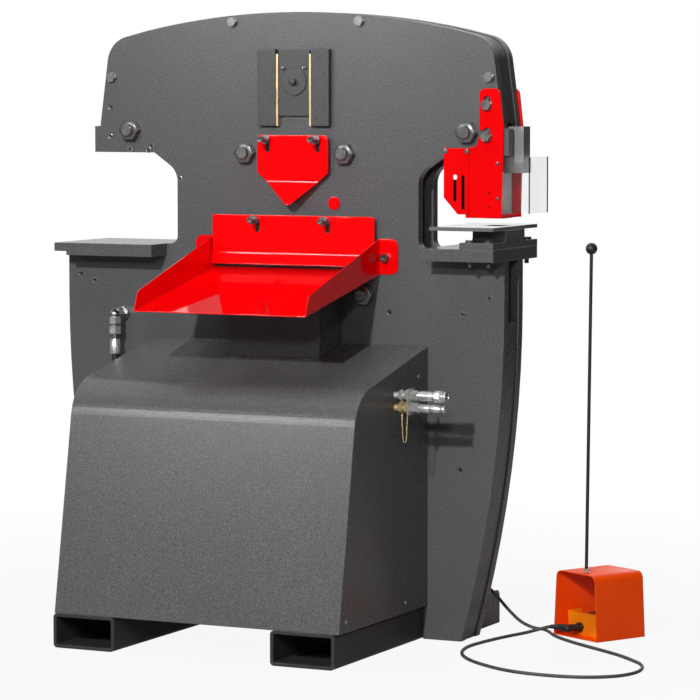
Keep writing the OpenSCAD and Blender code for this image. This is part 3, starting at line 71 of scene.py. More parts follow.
# Route of the pedal's cord in metres, from the box's gland to the pedal's connector
CORD_ROUTE = [
    (0.470, 0.165, 0.235), (0.470, 0.165, 0.205), (0.478, 0.166, 0.178), (0.498, 0.168, 0.155),
    (0.524, 0.172, 0.134), (0.556, 0.180, 0.102), (0.588, 0.192, 0.062), (0.622, 0.208, 0.026),
    (0.658, 0.220, 0.008), (0.692, 0.218, 0.0052), (0.724, 0.184, 0.0052), (0.760, 0.133, 0.0052),
    (0.805, 0.085, 0.0052), (0.860, 0.038, 0.0052), (0.930, -0.015, 0.0052), (1.000, -0.065, 0.0052),
    (1.065, -0.115, 0.0052), (1.125, -0.172, 0.0052), (1.172, -0.225, 0.0052), (1.202, -0.290, 0.0052),
    (1.208, -0.360, 0.0052), (1.186, -0.425, 0.0052), (1.138, -0.472, 0.0052), (1.075, -0.498, 0.0052),
    (1.000, -0.506, 0.0052), (0.920, -0.498, 0.0052), (0.845, -0.472, 0.0052), (0.770, -0.425, 0.0052),
    (0.705, -0.370, 0.0052), (0.655, -0.305, 0.0052), (0.625, -0.235, 0.0052), (0.612, -0.160, 0.0052),
    (0.618, -0.080, 0.0052), (0.632, 0.000, 0.0052), (0.650, 0.070, 0.0055), (0.672, 0.125, 0.007),
    (0.703, 0.157, 0.015), (0.735, 0.164, 0.024), (0.774215, 0.149748, 0.028),
]

# Small holes on the front face, as places along the frame and above the floor
FACE_HOLES = [
    (-0.639, 1.490), (-0.495, 1.461), (-0.571, 1.451), (-0.506, 1.448), (-0.397, 1.362), (-0.638, 1.580),
    (-0.746, 1.062), (-0.698, 1.044), (0.311, 0.974), (0.549, 0.974), (0.635, 1.023), (0.542, 0.513),
]

# The pedal's own frame: its front left corner and its turn on the floor
PEDAL = Matrix.Translation((0.741, 0.181, 0)) @ Matrix.Rotation(math.radians(-28), 4, "Z")


def centre(node):
    """Middle of a CAD node's box."""
    low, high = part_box(node)
    return (low + high) / 2


def solids(node):
    """Boxes of the separate solids of a CAD node."""
    mesh = NODES[node].data
    keys = [tuple(round(value, 5) for value in vertex.co) for vertex in mesh.vertices]
    parent = {key: key for key in keys}

    def root(key):
        while parent[key] != key:
            parent[key] = parent[parent[key]]
            key = parent[key]
        return key

    for face in mesh.polygons:
        first = root(keys[face.vertices[0]])
        for index in face.vertices[1:]:
            parent[root(keys[index])] = first
    groups = {}
    for key in parent:
        groups.setdefault(root(key), []).append(key)
    boxes = []
    for points in groups.values():
        columns = list(zip(*points))
        boxes.append((Vector([min(c) for c in columns]), Vector([max(c) for c in columns])))
    return boxes


# Settings that a user would change

def colour_setting(name, description, default):
    return FloatVectorProperty(
        name=name, description=description, subtype="COLOR", size=3, default=default, min=0, max=1)


def length_setting(name, description, default):
    return FloatProperty(name=name, description=description, unit="LENGTH", default=default)


def power_setting(name, description, default):
    return FloatProperty(name=name, description=description, unit="POWER", default=default)


class IronworkerCoats(bpy.types.PropertyGroup):
    """Colours of the coats and materials."""

    frame_coat: colour_setting("Frame coat", "Speckled grey of the frame and cover", (0.095, 0.096, 0.101))
    guard_coat: colour_setting("Guard coat", "Glossy red of the guards and tray", (0.86, 0.0005, 0.002))
    table_coat: colour_setting("Table coat", "Glossy grey of the notcher's table", (0.16, 0.16, 0.16))
    tube_coat: colour_setting("Tube coat", "Dark coat of the fork tubes", (0.035, 0.035, 0.037))
    tank_coat: colour_setting("Tank coat", "Satin grey of the oil tank", (0.11, 0.12, 0.13))
    box_coat: colour_setting("Box coat", "Satin grey of the electrical box", (0.20, 0.20, 0.205))
    hood_coat: colour_setting("Hood coat", "Orange coat of the pedal's hood", (1.0, 0.075, 0.001))
    base_coat: colour_setting("Pedal base coat", "Orange of the pedal's base", (1.0, 0.235, 0.002))
    zinc: colour_setting("Zinc", "Plated bolts, nuts and screws", (0.36, 0.36, 0.355))
    chrome: colour_setting("Chrome", "Bright plate of hose ends and couplers", (0.62, 0.62, 0.62))
    gunmetal: colour_setting("Gunmetal", "Dark nuts of the guide studs", (0.16, 0.16, 0.16))
    tool_steel: colour_setting("Tool steel", "Ram, blades and punch", (0.25, 0.245, 0.24))
    brass: colour_setting("Brass", "Gib liners and coupler nuts", (0.57, 0.44, 0.22))
    cast_alloy: colour_setting("Cast alloy", "Castings of the pump", (0.5, 0.5, 0.5))
    rubber: colour_setting("Rubber", "Hoses and black mouldings", (0.018, 0.018, 0.019))
    cord: colour_setting("Cord", "Sheath of the pedal's cord", (0.06, 0.06, 0.057))
    treadle: colour_setting("Treadle", "Moulding of the pedal's treadle", (0.03, 0.03, 0.03))
    start_green: colour_setting("Start green", "Start button", (0.02, 0.35, 0.08))
    stop_red: colour_setting("Stop red", "Stop button", (0.62, 0.01, 0.01))
    # Painted shade: near-black for the strips in the wing's slots, where there is only shadow
    gap: colour_setting("Gap", "Dark backing of the wing's slots", (0.006, 0.003, 0.003))
    clear_sheet: colour_setting("Clear sheet", "Tint of the notcher's shield", (0.985, 0.99, 0.995))


class IronworkerSizes(bpy.types.PropertyGroup):
    """Sizes of the fittings that are added to the frame."""

    cord_diameter: length_setting("Cord diameter", "Outside of the pedal's cord", 0.010)
    hose_diameter: length_setting("Hose diameter", "Outside of the hydraulic hoses", 0.020)
    spring_wire: length_setting("Spring wire", "Diameter of the pedal spring's wire", 0.0025)
    thread_pitch: length_setting("Thread pitch", "Pitch of the guide studs' threads", 0.0035)
    knurl_count: IntProperty(
        name="Knurl ridges", description="Ridges round the coupler's sleeve", default=36, min=12, max=72)
    edge_round: length_setting("Edge rounding", "Softening of coated edges", 0.0036)


class IronworkerStage(bpy.types.PropertyGroup):
    """Camera and light."""

    camera_place: FloatVectorProperty(
        name="Camera place", description="Where the camera stands", subtype="XYZ", unit="LENGTH",
        size=3, default=(4.50455, -9.06702, 1.66213))
    azimuth: FloatProperty(
        name="Azimuth", description="Turn of the camera to the right of the frame's face",
        subtype="ANGLE", default=math.radians(25.668))
    elevation: FloatProperty(
        name="Elevation", description="How far the camera looks down", subtype="ANGLE",
        default=math.radians(4.615))
    lens: FloatProperty(
        name="Lens", description="Focal length on a 36 mm sensor", unit="CAMERA", default=171.92)
    key_power: power_setting("Key power", "Lamp in front", 500)
    right_power: power_setting("Right power", "Lamp on the right", 105)
    rear_power: power_setting("Rear power", "Lamp behind the machine", 420)
    top_power: power_setting("Top power", "Lamp overhead", 160)
    card_power: power_setting("Card power", "Card on the left, which shows in gloss alone", 155)
    ambient: FloatProperty(
        name="Ambient", description="Strength of the surrounding light", default=0.05)
    room: FloatProperty(
        name="Room", description="Brightness of the room in front, in reflections", default=0.06)


def coats():
    return bpy.context.scene.ironworker_coats


def sizes():
    return bpy.context.scene.ironworker_sizes


def stage():
    return bpy.context.scene.ironworker_stage


# Materials

class Nodes:
    """A tree of shader nodes, emptied to be filled."""

    def __init__(self, tree):
        self.tree = tree
        tree.nodes.clear()

    def feed(self, socket, value):
        """Link a socket to another one, or set its plain value."""
        if isinstance(value, bpy.types.NodeSocket):
            self.tree.links.new(value, socket)
        else:
            socket.default_value = value

    def add(self, kind, inputs=None, **attributes):
        node = self.tree.nodes.new(kind)
        for key, value in attributes.items():
            setattr(node, key, value)
        for key, value in (inputs or {}).items():
            self.feed(node.inputs[key], value)
        return node

    def span(self, value, low, high, to_low, to_high):
        """A value taken from one range to another and held at its ends."""
        inputs = {0: value, 1: low, 2: high, 3: to_low, 4: to_high}
        return self.add("ShaderNodeMapRange", inputs).outputs[0]

    def math(self, operation, a, b):
        return self.add("ShaderNodeMath", {0: a, 1: b}, operation=operation).outputs[0]

    def rays(self, *names):
        """1 for the named kinds of rays and 0 for all others."""
        kinds = self.add("ShaderNodeLightPath").outputs
        share = kinds[names[0]]
        for name in names[1:]:
            share = self.math("MAXIMUM", share, kinds[name])
        return share


class Finish(Nodes):
    """A material that ends in one principled shader."""

    def __init__(self, name):
        self.material = bpy.data.materials.new(name)
        self.material.use_nodes = True
        super().__init__(self.material.node_tree)
        self.shader = self.add("ShaderNodeBsdfPrincipled")
        self.add("ShaderNodeOutputMaterial", {"Surface": self.shader.outputs[0]})
        self.place = self.add("ShaderNodeTexCoord").outputs["Object"]

    def set(self, **inputs):
        for key, value in inputs.items():
            name = key.replace("_", " ").title().replace("Ior", "IOR")
            self.feed(self.shader.inputs[name], value)

    def noise(self, scale, detail=2.0, stretch=(1, 1, 1), rough=0.5):
        mapped = self.add("ShaderNodeMapping", {"Vector": self.place, "Scale": stretch}).outputs[0]
        inputs = {"Vector": mapped, "Scale": scale, "Detail": detail, "Roughness": rough}
        return self.add("ShaderNodeTexNoise", inputs).outputs["Fac"]

    def cells(self, scale):
        inputs = {"Vector": self.place, "Scale": scale}
        return self.add("ShaderNodeTexVoronoi", inputs).outputs["Distance"]

    def mix(self, factor, a, b):
        return self.add("ShaderNodeMix", {0: factor, 6: a, 7: b}, data_type="RGBA").outputs[2]

    def rounded_normal(self, radius):
        return self.add("ShaderNodeBevel", {"Radius": radius}, samples=4).outputs[0]

    def edges(self, normal):
        """Near 1 along edges and 0 on flat faces."""
        true_normal = self.add("ShaderNodeNewGeometry").outputs["Normal"]
        dot = self.add("ShaderNodeVectorMath", {0: normal, 1: true_normal}, operation="DOT_PRODUCT")
        return self.span(dot.outputs["Value"], 0.995, 0.93, 0.0, 1.0)

    def corners(self, reach):
        """Near 0.8 in creases between pieces and 0 in the open: the mask for painted shade in creases."""
        shut = self.add("ShaderNodeAmbientOcclusion", {"Distance": reach}, samples=4)
        return self.span(shut.outputs["AO"], 0.75, 0.3, 0.0, 0.8)

    def bump(self, height, strength, distance, normal):
        inputs = {"Height": height, "Strength": strength, "Distance": distance, "Normal": normal}
        return self.add("ShaderNodeBump", inputs).outputs[0]


def shade(colour, factor):
    return tuple(min(1.0, channel * factor) for channel in colour) + (1.0,)


def hammer_coat(name, colour, rough=0.24, edge_wear_and_sheen=0.5):
    """Textured powder coat: fine light and dark specks over a faint mottle, with painted shade in corners
    and creases, and lighter edges that are partly worn paint and partly a painted highlight.
    """
    coat = Finish(name)
    specks = coat.noise(300, 3.0, rough=0.65)
    grains = coat.cells(260)
    mottle = coat.noise(5, 3.0)
    tone = coat.mix(coat.span(specks, 0.36, 0.64, 0.0, 1.0), shade(colour, 0.62), shade(colour, 1.42))
    tone = coat.mix(coat.span(mottle, 0.3, 0.7, 0.0, 0.3), tone, shade(colour, 0.84))
    # Painted shade: the coat darkens towards 0.3 of its colour in corners and creases
    tone = coat.mix(coat.corners(0.012), tone, shade(colour, 0.3))
    normal = coat.rounded_normal(sizes().edge_round)
    # Lighter edges: partly worn paint and partly a painted highlight along the coat's rims
    patches = coat.span(coat.noise(35, 3.0), 0.42, 0.62, 0.15, edge_wear_and_sheen)
    worn_and_highlit_edges = coat.math("MULTIPLY", coat.edges(normal), patches)
    coat.set(base_color=coat.mix(worn_and_highlit_edges, tone, shade(colour, 2.6)))
    coat.set(roughness=coat.span(specks, 0.3, 0.7, rough - 0.08, rough + 0.1), specular_ior_level=0.3)
    height = coat.math("ADD", coat.math("MULTIPLY", specks, 0.6), coat.math("MULTIPLY", grains, 0.8))
    coat.set(normal=coat.bump(height, 0.32, 0.0008, normal))
    return coat.material


def gloss_coat(name, colour, rough=0.09, peel=0.05, gloss=0.3):
    """Smooth glossy coat with a trace of orange peel and lighter edges."""
    coat = Finish(name)
    waves = coat.noise(160, 2.0)
    cloud = coat.noise(4, 3.0)
    tone = coat.mix(coat.span(cloud, 0.3, 0.7, 0.0, 1.0), shade(colour, 0.94), shade(colour, 1.05))
    normal = coat.rounded_normal(sizes().edge_round)
    patches = coat.span(coat.noise(50, 2.0), 0.4, 0.65, 0.1, 0.45)
    thin = coat.math("MULTIPLY", coat.edges(normal), patches)
    coat.set(base_color=coat.mix(thin, tone, shade(colour, 1.3)))
    coat.set(roughness=coat.span(cloud, 0.3, 0.7, rough * 0.6, rough * 1.6), specular_ior_level=gloss)
    coat.set(coat_weight=0.08, coat_roughness=0.06)
    coat.set(normal=coat.bump(waves, peel, 0.0004, normal))
    return coat.material


def worked_steel(name, colour, rough, stretch=(1, 1, 1), stain=0.35, bare=1.0):
    """Machined or plated steel with fine marks and faint stains."""
    steel = Finish(name)
    marks = steel.noise(240, 3.0, stretch)
    cloud = steel.noise(22, 3.0)
    normal = steel.rounded_normal(0.0008)
    tone = steel.mix(steel.span(marks, 0.35, 0.65, 0.0, 1.0), shade(colour, 0.86), shade(colour, 1.1))
    tone = steel.mix(steel.span(cloud, 0.45, 0.75, 0.0, stain), tone, shade(colour, 0.55))
    steel.set(base_color=steel.mix(steel.edges(normal), tone, shade(colour, 1.25)), metallic=bare)
    steel.set(roughness=steel.span(cloud, 0.3, 0.7, rough - 0.06, rough + 0.12))
    steel.set(normal=steel.bump(marks, 0.12, 0.0002, normal))
    return steel.material


def moulded(name, colour, rough=0.45, grain=900, depth=0.25, gloss=0.4):
    """Moulded plastic or rubber with a fine skin."""
    plastic = Finish(name)
    skin = plastic.noise(grain, 2.0)
    cloud = plastic.noise(14, 3.0)
    tone = plastic.mix(plastic.span(cloud, 0.3, 0.7, 0.0, 1.0), shade(colour, 0.8), shade(colour, 1.25))
    normal = plastic.rounded_normal(0.0008)
    plastic.set(base_color=tone, roughness=plastic.span(skin, 0.3, 0.7, rough - 0.07, rough + 0.09))
    plastic.set(specular_ior_level=gloss, normal=plastic.bump(skin, depth, 0.0003, normal))
    return plastic.material


def clear_plastic(name, colour):
    """Clear sheet with a faint haze of fine rubbing marks."""
    sheet = Finish(name)
    haze = sheet.noise(60, 4.0, (1, 1, 6))
    tone = sheet.mix(sheet.span(haze, 0.4, 0.7, 0.0, 1.0), shade(colour, 1.0), shade(colour, 0.96))
    sheet.set(base_color=tone, roughness=sheet.span(haze, 0.45, 0.75, 0.015, 0.12))
    sheet.set(transmission_weight=1.0, ior=1.4)
    return sheet.material


def build_materials():
    """All finishes by name; those of the frame's own solids have the record's slot names."""
    tints = coats()
    # Painted shade: a darker copy of the frame coat for the gibs, slide parts and head strip
    slide = [0.62 * channel for channel in tints.frame_coat]
    dark_zinc = [0.5 * channel for channel in tints.zinc]
    return {
        "frame_paint": hammer_coat("hammer_coat_grey", tints.frame_coat),
        "shaded_frame_paint": hammer_coat("hammer_coat_shaded", slide, 0.34),
        "tube_black": hammer_coat("hammer_coat_dark", tints.tube_coat, 0.42, 0.8),
        "box_paint": hammer_coat("satin_coat_box", tints.box_coat, 0.4),
        "guard_red": gloss_coat("gloss_coat_red", tints.guard_coat, 0.035, 0.02, 0.45),
        "table_gloss": gloss_coat("gloss_coat_table", tints.table_coat, 0.06, 0.02, 0.5),
        "hood_orange": gloss_coat("gloss_coat_orange", tints.hood_coat, 0.34, 0.15, 0.15),
        "tank_paint": gloss_coat("satin_coat_tank", tints.tank_coat, 0.4),
        "bright_steel": worked_steel("zinc_plate", tints.zinc, 0.26),
        "dark_zinc": worked_steel("dark_zinc", dark_zinc, 0.22, bare=0.85),
        "gunmetal": worked_steel("gunmetal", tints.gunmetal, 0.24, bare=0.6),
        "chrome": worked_steel("bright_chrome", tints.chrome, 0.22, stain=0.15, bare=0.7),
        "dark_steel": worked_steel("tool_steel", tints.tool_steel, 0.45, (1, 1, 0.2), bare=0.5),
        "brass": worked_steel("machined_brass", tints.brass, 0.28, (1, 1, 0.15), 0.2, 0.6),
        "pump_metal": worked_steel("cast_alloy", tints.cast_alloy, 0.5),
        "hose_rubber": moulded("black_rubber", tints.rubber, 0.5, 700, 0.3),
        "cord_grey": moulded("cord_grey", tints.cord, 0.5, 700, 0.3),
        "black_plastic": moulded("black_plastic", tints.rubber, 0.4),
        # Painted shade: near-black, nearly glossless strips for the wing's slots
        "painted_slot_shade": moulded("painted_slot_shade", tints.gap, 0.6, gloss=0.03),
        "button_green": moulded("green_button", tints.start_green, 0.3),
        "button_red": moulded("red_button", tints.stop_red, 0.3),
        "base_orange": moulded("orange_base", tints.base_coat, 0.35, 500, 0.2),
        "treadle_black": moulded("treadle_black", tints.treadle, 0.5, 400, 0.4),
        "clear_shield": clear_plastic("clear_sheet", tints.clear_sheet),
    }


# Names of the made materials, by finish
FINISH_NAMES = {}


def finish_of(name):
    return bpy.data.materials[FINISH_NAMES[name]]


# Shapes

class Shape:
    """Collects closed meshes and turns them into one piece."""

    def __init__(self):
        self.points = []
        self.faces = []

    def add(self, points, faces, place=Matrix.Identity(4)):
        first = len(self.points)
        self.points += [place @ Vector(point) for point in points]
        self.faces += [tuple(first + i for i in face) for face in faces]

    def turned(self, rings, place, segments=48, loop=False):
        """Solid of rings about Z, of radii and heights that may follow the angle; a loop is left hollow."""
        points = []
        for radius, height in rings:
            for k in range(segments):
                angle = math.tau * k / segments
                wide = radius(angle) if callable(radius) else radius
                rise = height(angle) if callable(height) else height
                points.append((wide * math.cos(angle), wide * math.sin(angle), rise))
        self.add(points, self.walls(len(rings), segments, loop), place)

    def walls(self, count, segments, loop):
        """Faces between rings of points, with flat ends unless the rings close on themselves."""
        faces = []
        for i in range(count if loop else count - 1):
            j = (i + 1) % count
            for k in range(segments):
                n = (k + 1) % segments
                faces.append((i * segments + k, i * segments + n, j * segments + n, j * segments + k))
        if not loop:
            faces.append(tuple(range(segments)))
            faces.append(tuple((count - 1) * segments + k for k in range(segments)))
        return faces

    def nut(self, across, thick, place, crown=0.94):
        """Hexagon with chamfered corners on both faces."""
        flat = hexagon(across)
        rim = across / 2 * crown

        def low(angle):
            return (flat(angle) - rim) * math.tan(math.radians(30))

        def high(angle):
            return thick - low(angle)

        self.turned([(rim, 0), (flat, low), (flat, high), (rim, thick)], place)

    def swept(self, path, radii, segments=20):
        """Round solid along a path, with a radius at each point."""
        points = []
        side = None
        for i, place in enumerate(path):
            ahead = (path[min(i + 1, len(path) - 1)] - path[max(i - 1, 0)]).normalized()
            side = ahead.orthogonal() if side is None else side - ahead * side.dot(ahead)
            side.normalize()
            other = ahead.cross(side)
            for k in range(segments):
                angle = math.tau * k / segments
                points.append(place + radii[i] * (math.cos(angle) * side + math.sin(angle) * other))
        self.add(points, self.walls(len(path), segments, False))

    def block(self, low, high, chamfer, place=Matrix.Identity(4)):
        """Box with chamfered edges: three points at each corner, one on each of its faces."""
        ends = (low, high)
        inward = (chamfer, -chamfer)
        corners = list(product((0, 1), repeat=3))
        index = {}
        points = []
        for corner in corners:
            for axis in range(3):
                index[corner, axis] = len(points)
                points.append([ends[end][a] + inward[end] * (a != axis) for a, end in enumerate(corner)])
        faces = [[index[corner, axis] for axis in range(3)] for corner in corners]
        ring = ((0, 0), (1, 0), (1, 1), (0, 1))
        for axis in range(3):
            u, v = [other for other in range(3) if other != axis]

            def corner_at(end, u_end, v_end):
                corner = [end] * 3
                corner[u], corner[v] = u_end, v_end
                return tuple(corner)

            for end in (0, 1):
                faces.append([index[corner_at(end, *pair), axis] for pair in ring])
            for pair in ring:
                strip = ((0, u), (1, u), (1, v), (0, v))
                faces.append([index[corner_at(end, *pair), across] for end, across in strip])
        self.add(points, faces, place)

    def piece(self, name, slot, body="frame", sharp=35, finish=None):
        """One object that rides on a body; with no body, it is left unattached."""
        mesh = bpy.data.meshes.new(name)
        mesh.from_pydata([tuple(point) for point in self.points], [], self.faces)
        mesh.validate()
        bm = bmesh.new()
        bm.from_mesh(mesh)
        bmesh.ops.recalc_face_normals(bm, faces=bm.faces)
        bm.to_mesh(mesh)
        bm.free()
        mesh.shade_smooth()
        mesh.set_sharp_from_angle(angle=math.radians(sharp))
        mesh.materials.append(finish_of(finish or slot))
        piece = bpy.data.objects.new(name, mesh)
        bpy.context.scene.collection.objects.link(piece)
        if body is not None:
            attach(piece, body)
        return piece


def facing(point, direction):
    """Matrix that puts a local Z axis at a point, along a direction."""
    turn = Vector((0, 0, 1)).rotation_difference(Vector(direction).normalized())
    return Matrix.Translation(point) @ turn.to_matrix().to_4x4()


def hexagon(across_flats):
    """Radius of a hexagon by angle, with a corner at 0."""
    def radius(angle):
        return across_flats / 2 / math.cos(angle % (math.pi / 3) - math.pi / 6)
    return radius


def thread(radius, low, high, pitch, depth):
    """Rings of a threaded stretch."""
    rings = []
    for k in range(round((high - low) / pitch)):
        start = low + k * pitch
        rings += [(radius - depth, start), (radius, start + pitch * 0.4), (radius, start + pitch * 0.6)]
    return rings + [(radius - depth, high)]


def stretch(path, length):
    """The first part of a path, resampled finely."""
    points = [path[0]]
    gone = 0.0
    for a, b in zip(path, path[1:]):
        step = (b - a).length
        pieces = max(1, math.ceil(step / 0.0008))
        for k in range(1, pieces + 1):
            if gone + step * k / pieces > length:
                return points
            points.append(a.lerp(b, k / pieces))
        gone += step
    return points


def smooth_path(points, steps):
    """Points on a smooth curve through a route."""
    route = [Vector(point) for point in points]
    route = [2 * route[0] - route[1]] + route + [2 * route[-1] - route[-2]]
    path = []
    for a, b, c, d in zip(route, route[1:], route[2:], route[3:]):
        for k in range(steps):
            t = k / steps
            path.append((2 * b + (c - a) * t + (2 * a - 5 * b + 4 * c - d) * t * t
                         + (3 * b - a - 3 * c + d) * t ** 3) / 2)
    return path + [route[-2]]


def path_length(path):
    return sum((b - a).length for a, b in zip(path, path[1:]))


def tube_piece(name, path, diameter, slot, finish=None):
    """Round tube along a path, as a curve of one open spline."""
    curve = bpy.data.curves.new(name, "CURVE")
    curve.dimensions = "3D"
    curve.bevel_depth = diameter / 2
    curve.bevel_resolution = 4
    curve.use_fill_caps = True
    spline = curve.splines.new("POLY")
    spline.points.add(len(path) - 1)
    for point, place in zip(spline.points, path):
        point.co = (*place, 1)
    spline.use_smooth = True
    piece = bpy.data.objects.new(name, curve)
    bpy.context.scene.collection.objects.link(piece)
    curve.materials.append(finish_of(finish or slot))
    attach(piece, "frame")
    return piece


# Operators, one for each piece or group of like pieces

class IRONWORKER_OT_stage(bpy.types.Operator):
    """Add the camera, the lamps, the floor and the white surroundings"""

    bl_idname = "ironworker.stage"
    bl_label = "Stage"

    # Each lamp's place, what it aims at, and its width and height
    middle = (0, 0, 0.9)
    key_lamp = ((1.0, -7.45, 4.4), middle, (0.3, 0.3))
    right_lamp = ((3.1, -7.2, 3.0), middle, (0.4, 0.4))
    rear_lamp = ((-1.6, 7.0, 2.9), middle, (1.2, 1.2))
    top_lamp = ((-0.9, -1.2, 6.4), (0.2, -0.2, 0.6), (3.5, 3.5))
    left_card = ((-2.8, -5.75, 2.95), middle, (1.0, 0.9))

    # Where reflections meet the white backdrop, above, behind and to the left, and its soft edge
    backdrop_side = (-0.5, 0.55, 0.65)
    backdrop_edge = (0.45, 0.68)

    # The floor's size and grey, how white it is near and far off, and how much of that is mirrored
    floor_half = 5.0
    floor_drop = 0.0005
    floor_grey = (0.3, 0.3, 0.3, 1)
    floor_near, floor_far = 1.0, 3.2
    floor_white = (0.92, 1.0)
    floor_mirrored = 0.15

    def execute(self, context):
        scene = context.scene
        settings = stage()
        scene.view_settings.view_transform = "Standard"
        self.camera(scene, settings)
        self.lamp(scene, "key_lamp", self.key_lamp, settings.key_power)
        self.lamp(scene, "right_lamp", self.right_lamp, settings.right_power)
        rear = self.lamp(scene, "rear_lamp", self.rear_lamp, settings.rear_power)
        rear.visible_glossy = False
        top = self.lamp(scene, "top_lamp", self.top_lamp, settings.top_power)
        top.visible_glossy = False
        card = self.lamp(scene, "left_card", self.left_card, settings.card_power)
        card.visible_diffuse = False
        self.surroundings(scene, settings.ambient, settings.room)
        self.floor(scene)
        return {"FINISHED"}

    def camera(self, scene, settings):
        data = bpy.data.cameras.new("camera")
        data.lens = settings.lens
        data.sensor_width = 36
        data.clip_end = 200
        camera = bpy.data.objects.new("camera", data)
        camera.location = settings.camera_place
        camera.rotation_euler = (math.pi / 2 - settings.elevation, 0, settings.azimuth)
        scene.collection.objects.link(camera)
        scene.camera = camera

    def lamp(self, scene, name, layout, power):
        place, target, size = layout
        data = bpy.data.lights.new(name, "AREA")
        data.energy = power
        data.shape = "RECTANGLE"
        data.size, data.size_y = size
        lamp = bpy.data.objects.new(name, data)
        lamp.location = place
        away = Vector(target) - Vector(place)
        lamp.rotation_euler = away.to_track_quat("-Z", "Y").to_euler()
        scene.collection.objects.link(lamp)
        return lamp

    def surroundings(self, scene, ambient, room):
        """White where it is seen, dim as light, and white in reflections but for the room in front."""
        world = bpy.data.worlds.new("white_surroundings")
        world.use_nodes = True
        scene.world = world
        nodes = Nodes(world.node_tree)
        way = nodes.add("ShaderNodeTexCoord").outputs["Generated"]
        lean = nodes.add("ShaderNodeVectorMath", {0: way, 1: self.backdrop_side}, operation="DOT_PRODUCT")
        mirrored = nodes.span(lean.outputs["Value"], *self.backdrop_edge, room, 1.0)
        strength = nodes.span(nodes.rays("Is Glossy Ray"), 0.0, 1.0, ambient, mirrored)
        seen = nodes.rays("Is Camera Ray", "Is Transmission Ray")
        strength = nodes.span(seen, 0.0, 1.0, strength, 1.0)
        background = nodes.add("ShaderNodeBackground", {"Color": (1, 1, 1, 1), "Strength": strength})
        nodes.add("ShaderNodeOutputWorld", {"Surface": background.outputs[0]})

    def floor(self, scene):
        """Pale floor that is mostly white where it is seen, and keeps the machine's shadow close by."""
        half = self.floor_half
        mesh = bpy.data.meshes.new("floor")
        corners = [(-half, -half, 0), (half, -half, 0), (half, half, 0), (-half, half, 0)]
        mesh.from_pydata(corners, [], [(0, 1, 2, 3)])
        floor = bpy.data.objects.new("floor", mesh)
        scene.collection.objects.link(floor)
        floor.location.z = -self.floor_drop
        material = bpy.data.materials.new("pale_floor")
        material.use_nodes = True
        nodes = Nodes(material.node_tree)
        place = nodes.add("ShaderNodeTexCoord").outputs["Object"]
        reach = nodes.add("ShaderNodeVectorMath", {0: place}, operation="LENGTH").outputs["Value"]
        white = nodes.span(reach, self.floor_near, self.floor_far, *self.floor_white)
        mirrored = nodes.span(nodes.rays("Is Glossy Ray"), 0.0, 1.0, 0.0, self.floor_mirrored)
        seen = nodes.rays("Is Camera Ray", "Is Transmission Ray")
        share = nodes.math("MULTIPLY", white, nodes.span(seen, 0.0, 1.0, mirrored, 1.0))
        grey = nodes.add("ShaderNodeBsdfDiffuse", {"Color": self.floor_grey}).outputs[0]
        glow = nodes.add("ShaderNodeEmission", {"Strength": 1.0}).outputs[0]
        mixed = nodes.add("ShaderNodeMixShader", {0: share, 1: grey, 2: glow}).outputs[0]
        nodes.add("ShaderNodeOutputMaterial", {"Surface": mixed})
        mesh.materials.append(material)


class IRONWORKER_OT_finishes(bpy.types.Operator):
    """Make the finishes and put them on the frame's own solids"""

    bl_idname = "ironworker.finishes"
    bl_label = "Finishes"

    # Solids whose finish differs from the rest of their slot
    own_finish = {
        # The gibs, slide parts and head strip take a darker copy of the frame coat, as painted shade
        "gibs": "shaded_frame_paint", "slide_blocks": "shaded_frame_paint", "slide_pin": "shaded_frame_paint",
        "head_tie_bolts": "gunmetal", "guide_bolts": "gunmetal", "guard_bolts": "dark_zinc",
        "notch_bolts": "dark_zinc", "tray_bolts": "dark_zinc", "head_strip": "shaded_frame_paint",
        "notch_table": "table_gloss",
    }

    def execute(self, context):
        for name, material in build_materials().items():
            FINISH_NAMES[name] = material.name
        for entry in frame["record"]["subparts"]:
            node = entry["node"]
            materials = NODES[node].data.materials
            materials.clear()
            materials.append(finish_of(self.own_finish.get(node, entry["material_slot"])))
        return {"FINISHED"}


class IRONWORKER_OT_pedal_cord(bpy.types.Operator):
    """Lay the pedal's cord from the box's gland to the pedal"""

    bl_idname = "ironworker.pedal_cord"
    bl_label = "Pedal cord"

    def execute(self, context):
        path = smooth_path(CORD_ROUTE, 8)
        diameter = sizes().cord_diameter
        cord = tube_piece("pedal_cord_run", path, diameter, "hose_rubber", finish="cord_grey")
        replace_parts(cord, "pedal_cord")
        return {"FINISHED"}


